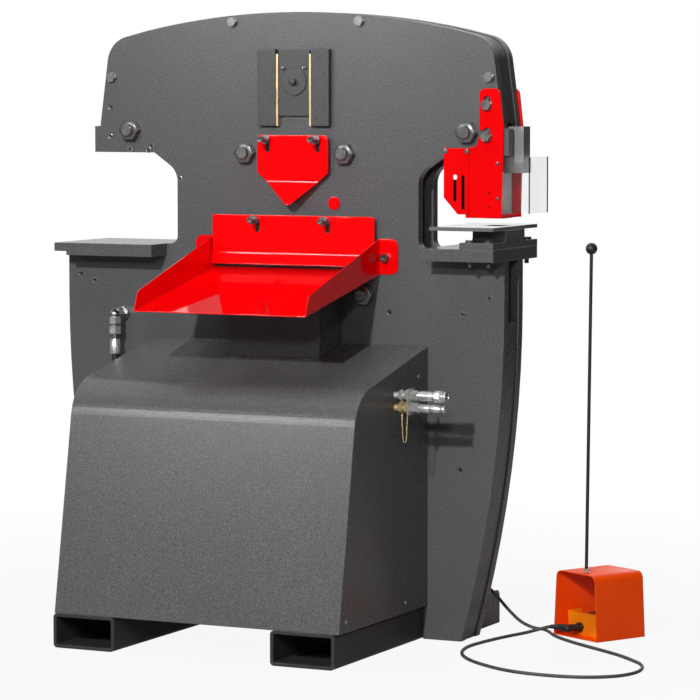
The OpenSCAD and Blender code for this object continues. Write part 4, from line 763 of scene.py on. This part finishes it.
class IRONWORKER_OT_hoses(bpy.types.Operator):
    """Run the hydraulic hoses between their fittings"""

    bl_idname = "ironworker.hoses"
    bl_label = "Hoses"

    # How far a hose runs straight and rises from its port, and the gap left at the port
    lead = 0.012
    rise = 0.040
    clear = 0.0003

    # The elbow's outlet across the frame, the height where its hose enters the cover, and the ports inside
    elbow_y = -0.12185
    cover_level = 0.560
    pump_port = Vector((0.061, -0.400, 0.2966))
    valve_top = Vector((-0.225, -0.380, 0.4076))
    valve_back = Vector((-0.225, -0.330, 0.3626))
    cylinder_port = Vector((0, -0.158, 0.870))

    def execute(self, context):
        diameter = sizes().hose_diameter
        self.side_hose(diameter)
        self.pump_hose(diameter)
        self.cylinder_hose(diameter)
        return {"FINISHED"}

    def side_hose(self, diameter):
        """From the elbow on the frame down and round into the cover's side."""
        low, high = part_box("left_elbow")
        cover_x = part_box("power_cover_wrap")[0].x
        top = Vector(((low.x + high.x) / 2, self.elbow_y, low.z))
        turn_x = cover_x - self.lead
        bend = turn_x - top.x
        level = self.cover_level
        steps = 24
        path = [top]
        for k in range(steps + 1):
            angle = math.pi + math.pi / 2 * k / steps
            height = level + bend + bend * math.sin(angle)
            path.append(Vector((turn_x + bend * math.cos(angle), top.y, height)))
        path.append(Vector((cover_x - self.clear, top.y, level)))
        hose = tube_piece("side_hose", path, diameter, "hose_rubber")
        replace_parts(hose, "hoses")
        shape = Shape()
        shape.nut(0.036, 0.010, facing(path[-1], (-1, 0, 0)))
        shape.piece("side_hose_nut", "bright_steel")
        self.hose_end(top)

    def hose_end(self, foot):
        """Fluted ferrule and two nuts on the side hose's upper end."""
        def fluted(angle):
            return 0.0152 + 0.0008 * abs(math.cos(6 * angle))

        rings = [(0.0102, 0), (0.0144, 0), (fluted, 0.0015), (fluted, 0.038), (0.0140, 0.0415),
                 (0.0132, 0.046), (0.0102, 0.046)]
        shape = Shape()
        shape.turned(rings, Matrix.Translation(foot), 96, loop=True)
        for rise, thick in ((0.061, 0.026), (0.092, 0.023)):
            shape.nut(0.0345, thick, Matrix.Translation(foot + Vector((0, 0, rise))))
        shape.piece("side_hose_end", "bright_steel", sharp=30, finish="chrome")

    def route(self, start, out, middle, end, back):
        """Path that leaves and meets its ports straight."""
        inner = [start + self.lead * out, start + self.rise * out, middle,
                 end + self.rise * back, end + self.lead * back]
        return [start + self.clear * out] + smooth_path(inner, 10) + [end + self.clear * back]

    def pump_hose(self, diameter):
        """From the pump up and over to the valve block."""
        up = Vector((0, 0, 1))
        pump, valve = self.pump_port, self.valve_top
        over = Vector(((pump.x + valve.x) / 2, pump.y, valve.z + self.rise))
        tube_piece("pump_hose", self.route(pump, up, over, valve, up), diameter, "hose_rubber")

    def cylinder_hose(self, diameter):
        """From the valve block up to the cylinder."""
        back = Vector((0, 1, 0))
        valve, port = self.valve_back, self.cylinder_port
        swing = Vector((valve.x / 2, port.y - self.rise, (valve.z + port.z) / 2))
        tube_piece("cylinder_hose", self.route(valve, back, swing, port, -back), diameter, "hose_rubber")


class IRONWORKER_OT_pedal_spring(bpy.types.Operator):
    """Wind the pedal's return spring, which stands on the base and shortens under the treadle"""

    bl_idname = "ironworker.pedal_spring"
    bl_label = "Pedal spring"

    def execute(self, context):
        low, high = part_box("pedal_spring")
        wire = sizes().spring_wire
        radius = (high.x - low.x - wire) / 2
        turns = 4
        steps = 24
        axis = (low + high) / 2
        foot = low.z + wire / 2
        rise = high.z - low.z - wire
        path = []
        for k in range(turns * steps + 1):
            angle = math.tau * k / steps
            across = radius * Vector((math.cos(angle), math.sin(angle), 0))
            height = foot + rise * k / (turns * steps)
            path.append(Vector((axis.x, axis.y, height)) + across)
        shape = Shape()
        shape.swept(path, [wire / 2] * len(path), 12)
        coil = shape.piece("pedal_spring_coil", "bright_steel", body=None)
        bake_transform(coil)
        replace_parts(coil, "pedal_spring")
        return {"FINISHED"}


class IRONWORKER_OT_cord_boots(bpy.types.Operator):
    """Put ribbed strain reliefs where the cord leaves the box and meets the pedal"""

    bl_idname = "ironworker.cord_boots"
    bl_label = "Cord boots"

    length = 0.040
    rib_pitch = 0.005
    rib_depth = 0.0007
    wide = 0.0088
    wall = 0.0012

    def execute(self, context):
        path = smooth_path(CORD_ROUTE, 8)
        for name, way in (("gland_boot", path), ("connector_boot", path[::-1])):
            line = stretch(way, self.length)
            narrow = sizes().cord_diameter / 2 + self.wall
            radii = []
            gone = 0.0
            for a, b in zip(line, line[1:] + line[-1:]):
                taper = self.wide + (narrow - self.wide) * gone / self.length
                radii.append(taper - self.rib_depth * (gone % self.rib_pitch > self.rib_pitch * 0.6))
                gone += (b - a).length
            shape = Shape()
            shape.swept(line, radii, 24)
            shape.piece(name, "black_plastic")
        return {"FINISHED"}


class IRONWORKER_OT_guide_nuts(bpy.types.Operator):
    """Dress the guide studs with chamfered nuts, washers and threads"""

    bl_idname = "ironworker.guide_nuts"
    bl_label = "Guide nuts"

    washer_thick = 0.003
    washer_edge = 0.0006
    across = 0.057
    stud = 0.019
    stud_out = 0.0075
    thread_depth = 0.0012
    thread_lap = 0.001

    def execute(self, context):
        nuts, washers, threads = Shape(), Shape(), Shape()
        for low, high in solids("guide_nuts"):
            middle = (low + high) / 2
            side = -1 if middle.y < 0 else 1
            face = max(low.y * side, high.y * side)
            near = min(abs(low.y), abs(high.y))
            place = facing((middle.x, side * near, middle.z), (0, side, 0))
            self.washer(washers, self.across / 2, place)
            thick = face - near - self.washer_thick
            nuts.nut(self.across, thick, place @ Matrix.Translation((0, 0, self.washer_thick)))
            top = self.washer_thick + thick
            rings = thread(self.stud + self.thread_depth / 2, top - self.thread_lap, top + self.stud_out,
                           sizes().thread_pitch, self.thread_depth)
            threads.turned(rings, place)
        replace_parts(nuts.piece("guide_hex_nuts", "bright_steel", finish="gunmetal"), "guide_nuts")
        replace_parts(washers.piece("guide_washers", "bright_steel", finish="gunmetal"), "guide_nuts")
        threads.piece("guide_threads", "dark_steel", finish="gunmetal")
        return {"FINISHED"}

    def washer(self, shape, radius, place):
        edge = self.washer_edge
        rings = [(self.stud, 0), (radius - edge, 0), (radius, edge), (radius, self.washer_thick - edge),
                 (radius - edge, self.washer_thick), (self.stud, self.washer_thick)]
        shape.turned(rings, place, loop=True)


class IRONWORKER_OT_slide_fittings(bpy.types.Operator):
    """Add the cap bolts and grease nipples of the slide blocks"""

    bl_idname = "ironworker.slide_fittings"
    bl_label = "Slide fittings"

    across = 0.019
    head = 0.008
    nipple_out = 0.036
    nipple_up = 0.041

    def execute(self, context):
        cap_low, cap_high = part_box("slide_pin")
        block_low, block_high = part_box("slide_blocks")
        middle = (cap_low + cap_high) / 2
        bolts, nipples = Shape(), Shape()
        for side, cap_y, block_y in ((-1, cap_low.y, block_low.y), (1, cap_high.y, block_high.y)):
            bolts.nut(self.across, self.head, facing((middle.x, cap_y, middle.z), (0, side, 0)))
            for step in (-self.nipple_out, self.nipple_out):
                foot = (middle.x + step, block_y, middle.z + self.nipple_up)
                self.nipple(nipples, facing(foot, (0, side, 0)))
        # The cap bolts take the darker copy of the frame coat, which is painted shade
        bolts.piece("slide_cap_bolts", "dark_steel", "ram", finish="shaded_frame_paint")
        nipples.piece("slide_grease_nipples", "bright_steel", "ram")
        return {"FINISHED"}

    def nipple(self, shape, place):
        """Hexagon with a waisted neck and a ball end."""
        shape.nut(0.0095, 0.004, place)
        shape.turned([(0.0034, 0.004), (0.0026, 0.0055), (0.0026, 0.0068), (0.0034, 0.0080),
                      (0.0036, 0.0092), (0.0030, 0.0104), (0.0012, 0.0110)], place, 24)


class IRONWORKER_OT_wing_slot_shade(bpy.types.Operator):
    """Put near-black strips behind the slots of the notcher's wing, below the round key end, as painted
    shade in the slots
    """

    bl_idname = "ironworker.wing_backing"
    bl_label = "Wing backing"

    thick = 0.002
    half = 0.008
    runs = ((0.527, 1.306, 1.371), (0.553, 1.283, 1.387))

    def execute(self, context):
        back_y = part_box("notch_guard_wing")[1].y
        shape = Shape()
        for x, low, high in self.runs:
            shape.block((x - self.half, back_y, low), (x + self.half, back_y + self.thick, high), 0.0005)
        # Painted shade in the wing's slots
        shape.piece("wing_slot_shade", "black_plastic", "notch_guard", finish="painted_slot_shade")
        return {"FINISHED"}


class IRONWORKER_OT_guard_screws(bpy.types.Operator):
    """Cap the screws of the notcher's wing and shield with dark button heads"""

    bl_idname = "ironworker.guard_screws"
    bl_label = "Guard screws"

    wing_places = ((0.498, 1.454), (0.566, 1.454))
    wing_radius = 0.0073
    shield_places = ((0.662, 1.419), (0.662, 1.317))
    shield_radius = 0.0048
    sunk = 0.0038

    def execute(self, context):
        shape = Shape()
        wing_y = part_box("notch_guard_wing")[0].y
        guard_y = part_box("notch_guard_front")[0].y
        for x, z in self.wing_places:
            self.head(shape, self.wing_radius, (x, wing_y + self.sunk, z))
        for x, z in self.shield_places:
            self.head(shape, self.shield_radius, (x, guard_y + self.sunk, z))
        shape.piece("guard_screw_heads", "bright_steel", "notch_guard", finish="gunmetal")
        return {"FINISHED"}

    def head(self, shape, radius, foot):
        """Button head with a socket."""
        rings = [(radius, 0), (radius, 0.0034), (radius * 0.8, 0.0048), (radius * 0.5, 0.0054),
                 (radius * 0.42, 0.0054), (radius * 0.38, 0.0042)]
        shape.turned(rings, facing(foot, (0, -1, 0)), 36)


class IRONWORKER_OT_face_holes(bpy.types.Operator):
    """Mark the small tapped holes on the frame's front face with plated rims round near-black discs, which
    are painted shade for the holes' insides
    """

    bl_idname = "ironworker.face_holes"
    bl_label = "Face holes"

    radius = 0.0085
    hole = 0.0062
    proud = 0.0008

    def execute(self, context):
        face_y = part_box("front_plate")[0].y
        rings, holes = Shape(), Shape()
        for x, z in FACE_HOLES:
            place = facing((x, face_y, z), (0, -1, 0))
            rings.turned([(self.hole, 0), (self.radius, 0), (self.radius - self.proud, self.proud),
                          (self.hole + self.proud, self.proud)], place, 32, loop=True)
            # Painted shade: a near-black disc stands for the dark inside of each hole
            floor = [(self.hole, 0), (self.hole, self.proud / 4), (self.hole / 2, self.proud / 8)]
            holes.turned(floor, place, 32)
        rings.piece("tapped_hole_rims", "bright_steel")
        holes.piece("tapped_hole_shade", "black_plastic")
        return {"FINISHED"}


class IRONWORKER_OT_couplers(bpy.types.Operator):
    """Dress the accessory couplers: plate, nuts, grooved bodies, knurled sleeve and lanyard"""

    bl_idname = "ironworker.couplers"
    bl_label = "Couplers"

    stand = 0.047
    plate_thick = 0.006
    plate_wide = 0.044
    pitch = 0.036
    nut_thick = 0.013
    nut_gap = 0.005
    pipe = 0.010
    steel_across = 0.028
    brass_across = 0.032
    wire = 0.0013

    def execute(self, context):
        low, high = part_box("coupler_bodies")
        middle = (low + high) / 2
        plate_x = low.x + self.stand
        face_x = plate_x + self.plate_thick
        upper = Vector((0, middle.y, middle.z + self.pitch / 2))
        lower = Vector((0, middle.y, middle.z - self.pitch / 2))
        shape = Shape()
        half = self.plate_wide / 2
        shape.block((plate_x, middle.y - half, low.z), (face_x, middle.y + half, high.z), 0.0012)
        self.nipple(shape, low.x, plate_x, upper, self.steel_across)
        self.female(shape, face_x, upper)
        self.male(shape, face_x, lower)
        fittings = shape.piece("coupler_fittings", "bright_steel", finish="chrome")
        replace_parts(fittings, "coupler_bodies")
        caps = Shape()
        self.nipple(caps, low.x, plate_x, lower, self.brass_across)
        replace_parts(caps.piece("coupler_brass_nuts", "brass"), "coupler_brass")
        self.lanyard(plate_x, lower)
        self.sleeve(upper)
        return {"FINISHED"}

    def along(self, x, axis):
        return facing((x, axis.y, axis.z), (1, 0, 0))

    def nipple(self, shape, start, end, axis, across):
        """Threaded pipe with two nuts."""
        shape.turned(thread(self.pipe, 0, end - start, 0.0018, 0.0007), self.along(start, axis))
        for step in (self.nut_thick, 2 * self.nut_thick + self.nut_gap):
            shape.nut(across, self.nut_thick, self.along(end - step, axis))

    def female(self, shape, face_x, axis):
        """Hexagon, grooved body and open socket."""
        shape.nut(self.steel_across, 0.022, self.along(face_x, axis))
        shape.turned([(0.0128, 0.022), (0.0128, 0.027), (0.0150, 0.029), (0.0150, 0.047), (0.0141, 0.048),
                      (0.0141, 0.052), (0.0150, 0.053), (0.0150, 0.064), (0.0138, 0.066), (0.0138, 0.072),
                      (0.0150, 0.074), (0.0150, 0.108), (0.0142, 0.112), (0.0127, 0.112), (0.0120, 0.110),
                      (0.0120, 0.078)], self.along(face_x, axis))

    def male(self, shape, face_x, axis):
        """Hexagon, body and grooved plug nose."""
        shape.nut(self.steel_across, 0.026, self.along(face_x, axis))
        shape.turned([(0.0120, 0.026), (0.0120, 0.030), (0.0135, 0.032), (0.0135, 0.056), (0.0125, 0.058),
                      (0.0125, 0.063), (0.0135, 0.065), (0.0135, 0.078), (0.0118, 0.081), (0.0118, 0.089),
                      (0.0104, 0.091), (0.0104, 0.095), (0.0118, 0.097), (0.0118, 0.105), (0.0102, 0.108),
                      (0.0070, 0.108), (0.0060, 0.101)], self.along(face_x, axis))

    def lanyard(self, plate_x, axis):
        """Two-strand wire loop that hangs from the brass nuts."""
        half = (self.nut_thick + self.nut_gap) / 2
        drop = 0.0875
        middle_x = plate_x - self.nut_thick / 2 - half
        top = axis.z - self.brass_across / 2 + 2 * self.wire
        steps = 160
        loop = []
        for k in range(steps + 1):
            across = 1 - 2 * k / steps
            loop.append(Vector((middle_x + half * across, axis.y, top - drop * (1 - across ** 4))))
        line = stretch(loop, path_length(loop))
        spread = self.wire * 0.75
        shape = Shape()
        for strand in (0, math.pi):
            path = []
            for k, point in enumerate(line):
                twist = strand + k * math.tau / 18
                path.append(point + spread * Vector((math.cos(twist), math.sin(twist), 0)))
            shape.swept(path, [self.wire * 0.8] * len(path), 8)
        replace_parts(shape.piece("coupler_lanyard", "brass"), "coupler_brass")

    def sleeve(self, axis):
        """Knurled sleeve with a flared rim."""
        low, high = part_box("coupler_sleeve")
        inner = 0.01505
        outer = (high.y - low.y) / 2
        length = high.x - low.x
        count = sizes().knurl_count

        def ridged(angle):
            return outer - 0.0003 - 0.0006 * abs(math.sin(count * angle / 2))

        rings = [(inner, 0), (outer - 0.002, 0), (outer - 0.001, 0.001), (outer - 0.001, 0.004),
                 (ridged, 0.005), (ridged, length - 0.009), (outer - 0.0022, length - 0.008),
                 (outer - 0.0022, length - 0.006), (outer, length - 0.003), (outer, length - 0.0006),
                 (outer - 0.0006, length), (inner, length)]
        shape = Shape()
        shape.turned(rings, self.along(low.x, axis), count * 4, loop=True)
        piece = shape.piece("coupler_knurled_sleeve", "bright_steel", "coupler_sleeve", 25, "chrome")
        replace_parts(piece, "coupler_sleeve")


class IRONWORKER_OT_pedal_fittings(bpy.types.Operator):
    """Add the treadle's grip ribs and the handle's plated nut"""

    bl_idname = "ironworker.pedal_fittings"
    bl_label = "Pedal fittings"

    rib_count = 7
    rib_high = 0.0016
    rib_wide = 0.005
    rib_sunk = 0.0004
    rib_chamfer = 0.0006

    # The handle's place in the pedal's own frame, and its nut
    handle_place = (0.100, 0.042)
    nut_across = 0.0178
    nut_thick = 0.0094

    def execute(self, context):
        self.ribs()
        self.handle_nut()
        return {"FINISHED"}

    def ribs(self):
        """Bars across the treadle's top, which rises from its hinge to its back."""
        left, right = 0.043, 0.157
        first, last = 0.096, 0.170
        hinge, back = 0.074, 0.180
        top, rise = 0.059, 0.004
        lean = math.atan2(rise, back - hinge)
        half = self.rib_wide / 2
        shape = Shape()
        for k in range(self.rib_count):
            y = first + (last - first) * k / (self.rib_count - 1)
            z = top + rise * (y - hinge) / (back - hinge)
            place = PEDAL @ Matrix.Translation((0, y, z)) @ Matrix.Rotation(lean, 4, "X")
            low, high = (left, -half, -self.rib_sunk), (right, half, self.rib_high)
            shape.block(low, high, self.rib_chamfer, place)
        shape.piece("treadle_ribs", "treadle_black", "treadle")

    def handle_nut(self):
        """Nut with its washer, where the handle stands on the hood."""
        shape = Shape()
        hood_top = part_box("pedal_hood")[1].z
        place = PEDAL @ Matrix.Translation((*self.handle_place, hood_top))
        shape.turned([(0.0125, 0), (0.0125, 0.0012), (0.0118, 0.0018)], place)
        shape.nut(self.nut_across, self.nut_thick, place)
        shape.piece("handle_nut", "bright_steel", finish="chrome")


class IRONWORKER_OT_control_box(bpy.types.Operator):
    """Add the electrical box's door, hinges, latch and button rings"""

    bl_idname = "ironworker.control_box"
    bl_label = "Control box"

    margin = 0.010
    door_thick = 0.0025
    door_share = 0.58
    hinge_out = 0.003
    hinge_half = 0.020

    def execute(self, context):
        low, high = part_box("control_box")
        door_top = low.z + (high.z - low.z) * self.door_share
        shape = Shape()
        shape.block((low.x + self.margin, high.y - 0.0002, low.z + self.margin),
                    (high.x - self.margin, high.y + self.door_thick, door_top), 0.0012)
        shape.piece("box_door", "box_paint")
        self.hinges(low, high, door_top)
        self.rings(high.y)
        return {"FINISHED"}

    def hinges(self, low, high, door_top):
        """Two hinge barrels on the door's left edge and a latch near its right one."""
        shape = Shape()
        for share in (0.2, 0.8):
            z = low.z + self.margin + (door_top - low.z - self.margin) * share
            foot = (low.x + self.margin, high.y + self.hinge_out, z - self.hinge_half)
            barrel = [(0.0032, 0), (0.0040, 0.0008), (0.0040, 0.0392), (0.0032, 0.040)]
            shape.turned(barrel, Matrix.Translation(foot), 24)
        z = (low.z + door_top) / 2
        place = facing((high.x - 3 * self.margin, high.y + self.door_thick, z), (0, 1, 0))
        latch = [(0.012, 0), (0.012, 0.002), (0.0105, 0.0035), (0.0045, 0.0035), (0.0040, 0.0025)]
        shape.turned(latch, place)
        shape.piece("box_hinges_latch", "bright_steel")

    def rings(self, face_y):
        shape = Shape()
        for node in ("start_button", "stop_button"):
            middle = centre(node)
            place = facing((middle.x, face_y, middle.z), (0, 1, 0))
            shape.turned([(0.0125, 0), (0.0180, 0), (0.0180, 0.0012), (0.0170, 0.0020), (0.0125, 0.0020)],
                         place, loop=True)
        shape.piece("button_rings", "bright_steel")


class IRONWORKER_OT_cover_screws(bpy.types.Operator):
    """Add the button-head screws that hold the power unit's cover"""

    bl_idname = "ironworker.cover_screws"
    bl_label = "Cover screws"

    radius = 0.0065
    head = 0.0034
    rise = 0.030
    low_back = 0.154
    low_front = 0.045
    high_back = 0.064
    high_drop = 0.081

    def execute(self, context):
        low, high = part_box("power_cover_sides")
        places = [(high.y - self.low_back, low.z + self.rise), (low.y + self.low_front, low.z + self.rise),
                  (high.y - self.high_back, high.z - self.high_drop)]
        shape = Shape()
        rings = [(1, 0), (0.97, 0.35), (0.8, 0.75), (0.5, 1), (0.42, 1), (0.38, 0.4)]
        rings = [(self.radius * wide, self.head * high) for wide, high in rings]
        for x, side in ((low.x, -1), (high.x, 1)):
            for y, z in places:
                shape.turned(rings, facing((x, y, z), (side, 0, 0)), 30)
        shape.piece("cover_screws", "dark_steel")
        return {"FINISHED"}


class IRONWORKER_OT_weld_beads(bpy.types.Operator):
    """Lay the weld beads of the feet and the rear table"""

    bl_idname = "ironworker.weld_beads"
    bl_label = "Weld beads"

    radius = 0.0045
    pitch = 0.0045

    # Ends of the beads up a foot's sides, and the height and cut end of the one across its top
    foot_low, foot_high = 0.006, 0.030
    foot_top = 0.032
    foot_cut = 0.014

    # Depth of the table's bead below its top, half of its long run, and its short runs at the ends
    table_drop = 0.025
    table_half = 0.262
    table_end = 0.018

    def execute(self, context):
        shape = Shape()
        face_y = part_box("rear_plate")[1].y
        for low, high in solids("rear_feet"):
            start, end = low.z + self.foot_low, low.z + self.foot_high
            for x in (low.x, high.x):
                self.bead(shape, Vector((x, face_y, start)), Vector((x, face_y, end)))
            z = low.z + self.foot_top
            self.bead(shape, Vector((low.x, face_y, z)), Vector((high.x - self.foot_cut, face_y, z)))
        low, high = solids("shear_table")[0]
        z = high.z - self.table_drop
        runs = ((-self.table_half, self.table_half), (low.x, low.x + self.table_end),
                (high.x - self.table_end, high.x))
        for start, end in runs:
            self.bead(shape, Vector((start, face_y, z)), Vector((end, face_y, z)))
        shape.piece("weld_beads", "frame_paint")
        return {"FINISHED"}

    def bead(self, shape, start, end):
        """Rippled bead along a straight seam."""
        steps = max(4, round((end - start).length / self.pitch * 4))
        path = [start.lerp(end, k / steps) for k in range(steps + 1)]
        radii = [self.radius * (0.9 + 0.1 * math.cos(math.tau * k / 4)) for k in range(steps + 1)]
        radii[0] = radii[-1] = self.radius * 0.5
        shape.swept(path, radii, 12)


class IRONWORKER_PT_panel(bpy.types.Panel):
    """Lists the ironworker's pieces and their settings"""

    bl_label = "Ironworker"
    bl_idname = "IRONWORKER_PT_panel"
    bl_space_type = "VIEW_3D"
    bl_region_type = "UI"
    bl_category = "Ironworker"

    def draw(self, context):
        for operator in OPERATORS:
            self.layout.operator(operator.bl_idname)
        for group in (coats(), sizes(), stage()):
            box = self.layout.box()
            for name in group.__annotations__:
                box.prop(group, name)


GROUPS = {
    "ironworker_coats": IronworkerCoats,
    "ironworker_sizes": IronworkerSizes,
    "ironworker_stage": IronworkerStage,
}
OPERATORS = (
    IRONWORKER_OT_stage,
    IRONWORKER_OT_finishes,
    IRONWORKER_OT_pedal_cord,
    IRONWORKER_OT_hoses,
    IRONWORKER_OT_pedal_spring,
    IRONWORKER_OT_cord_boots,
    IRONWORKER_OT_guide_nuts,
    IRONWORKER_OT_slide_fittings,
    IRONWORKER_OT_wing_slot_shade,
    IRONWORKER_OT_guard_screws,
    IRONWORKER_OT_face_holes,
    IRONWORKER_OT_couplers,
    IRONWORKER_OT_pedal_fittings,
    IRONWORKER_OT_control_box,
    IRONWORKER_OT_cover_screws,
    IRONWORKER_OT_weld_beads,
)


def register():
    for name, group in GROUPS.items():
        bpy.utils.register_class(group)
        setattr(bpy.types.Scene, name, PointerProperty(type=group))
    for operator in OPERATORS:
        bpy.utils.register_class(operator)
    bpy.utils.register_class(IRONWORKER_PT_panel)


def unregister():
    bpy.utils.unregister_class(IRONWORKER_PT_panel)
    for operator in reversed(OPERATORS):
        bpy.utils.unregister_class(operator)
    for name, group in GROUPS.items():
        delattr(bpy.types.Scene, name)
        bpy.utils.unregister_class(group)


def main():
    register()
    for operator in OPERATORS:
        group, name = operator.bl_idname.split(".")
        getattr(getattr(bpy.ops, group), name)()


if __name__ == "__main__":
    main()
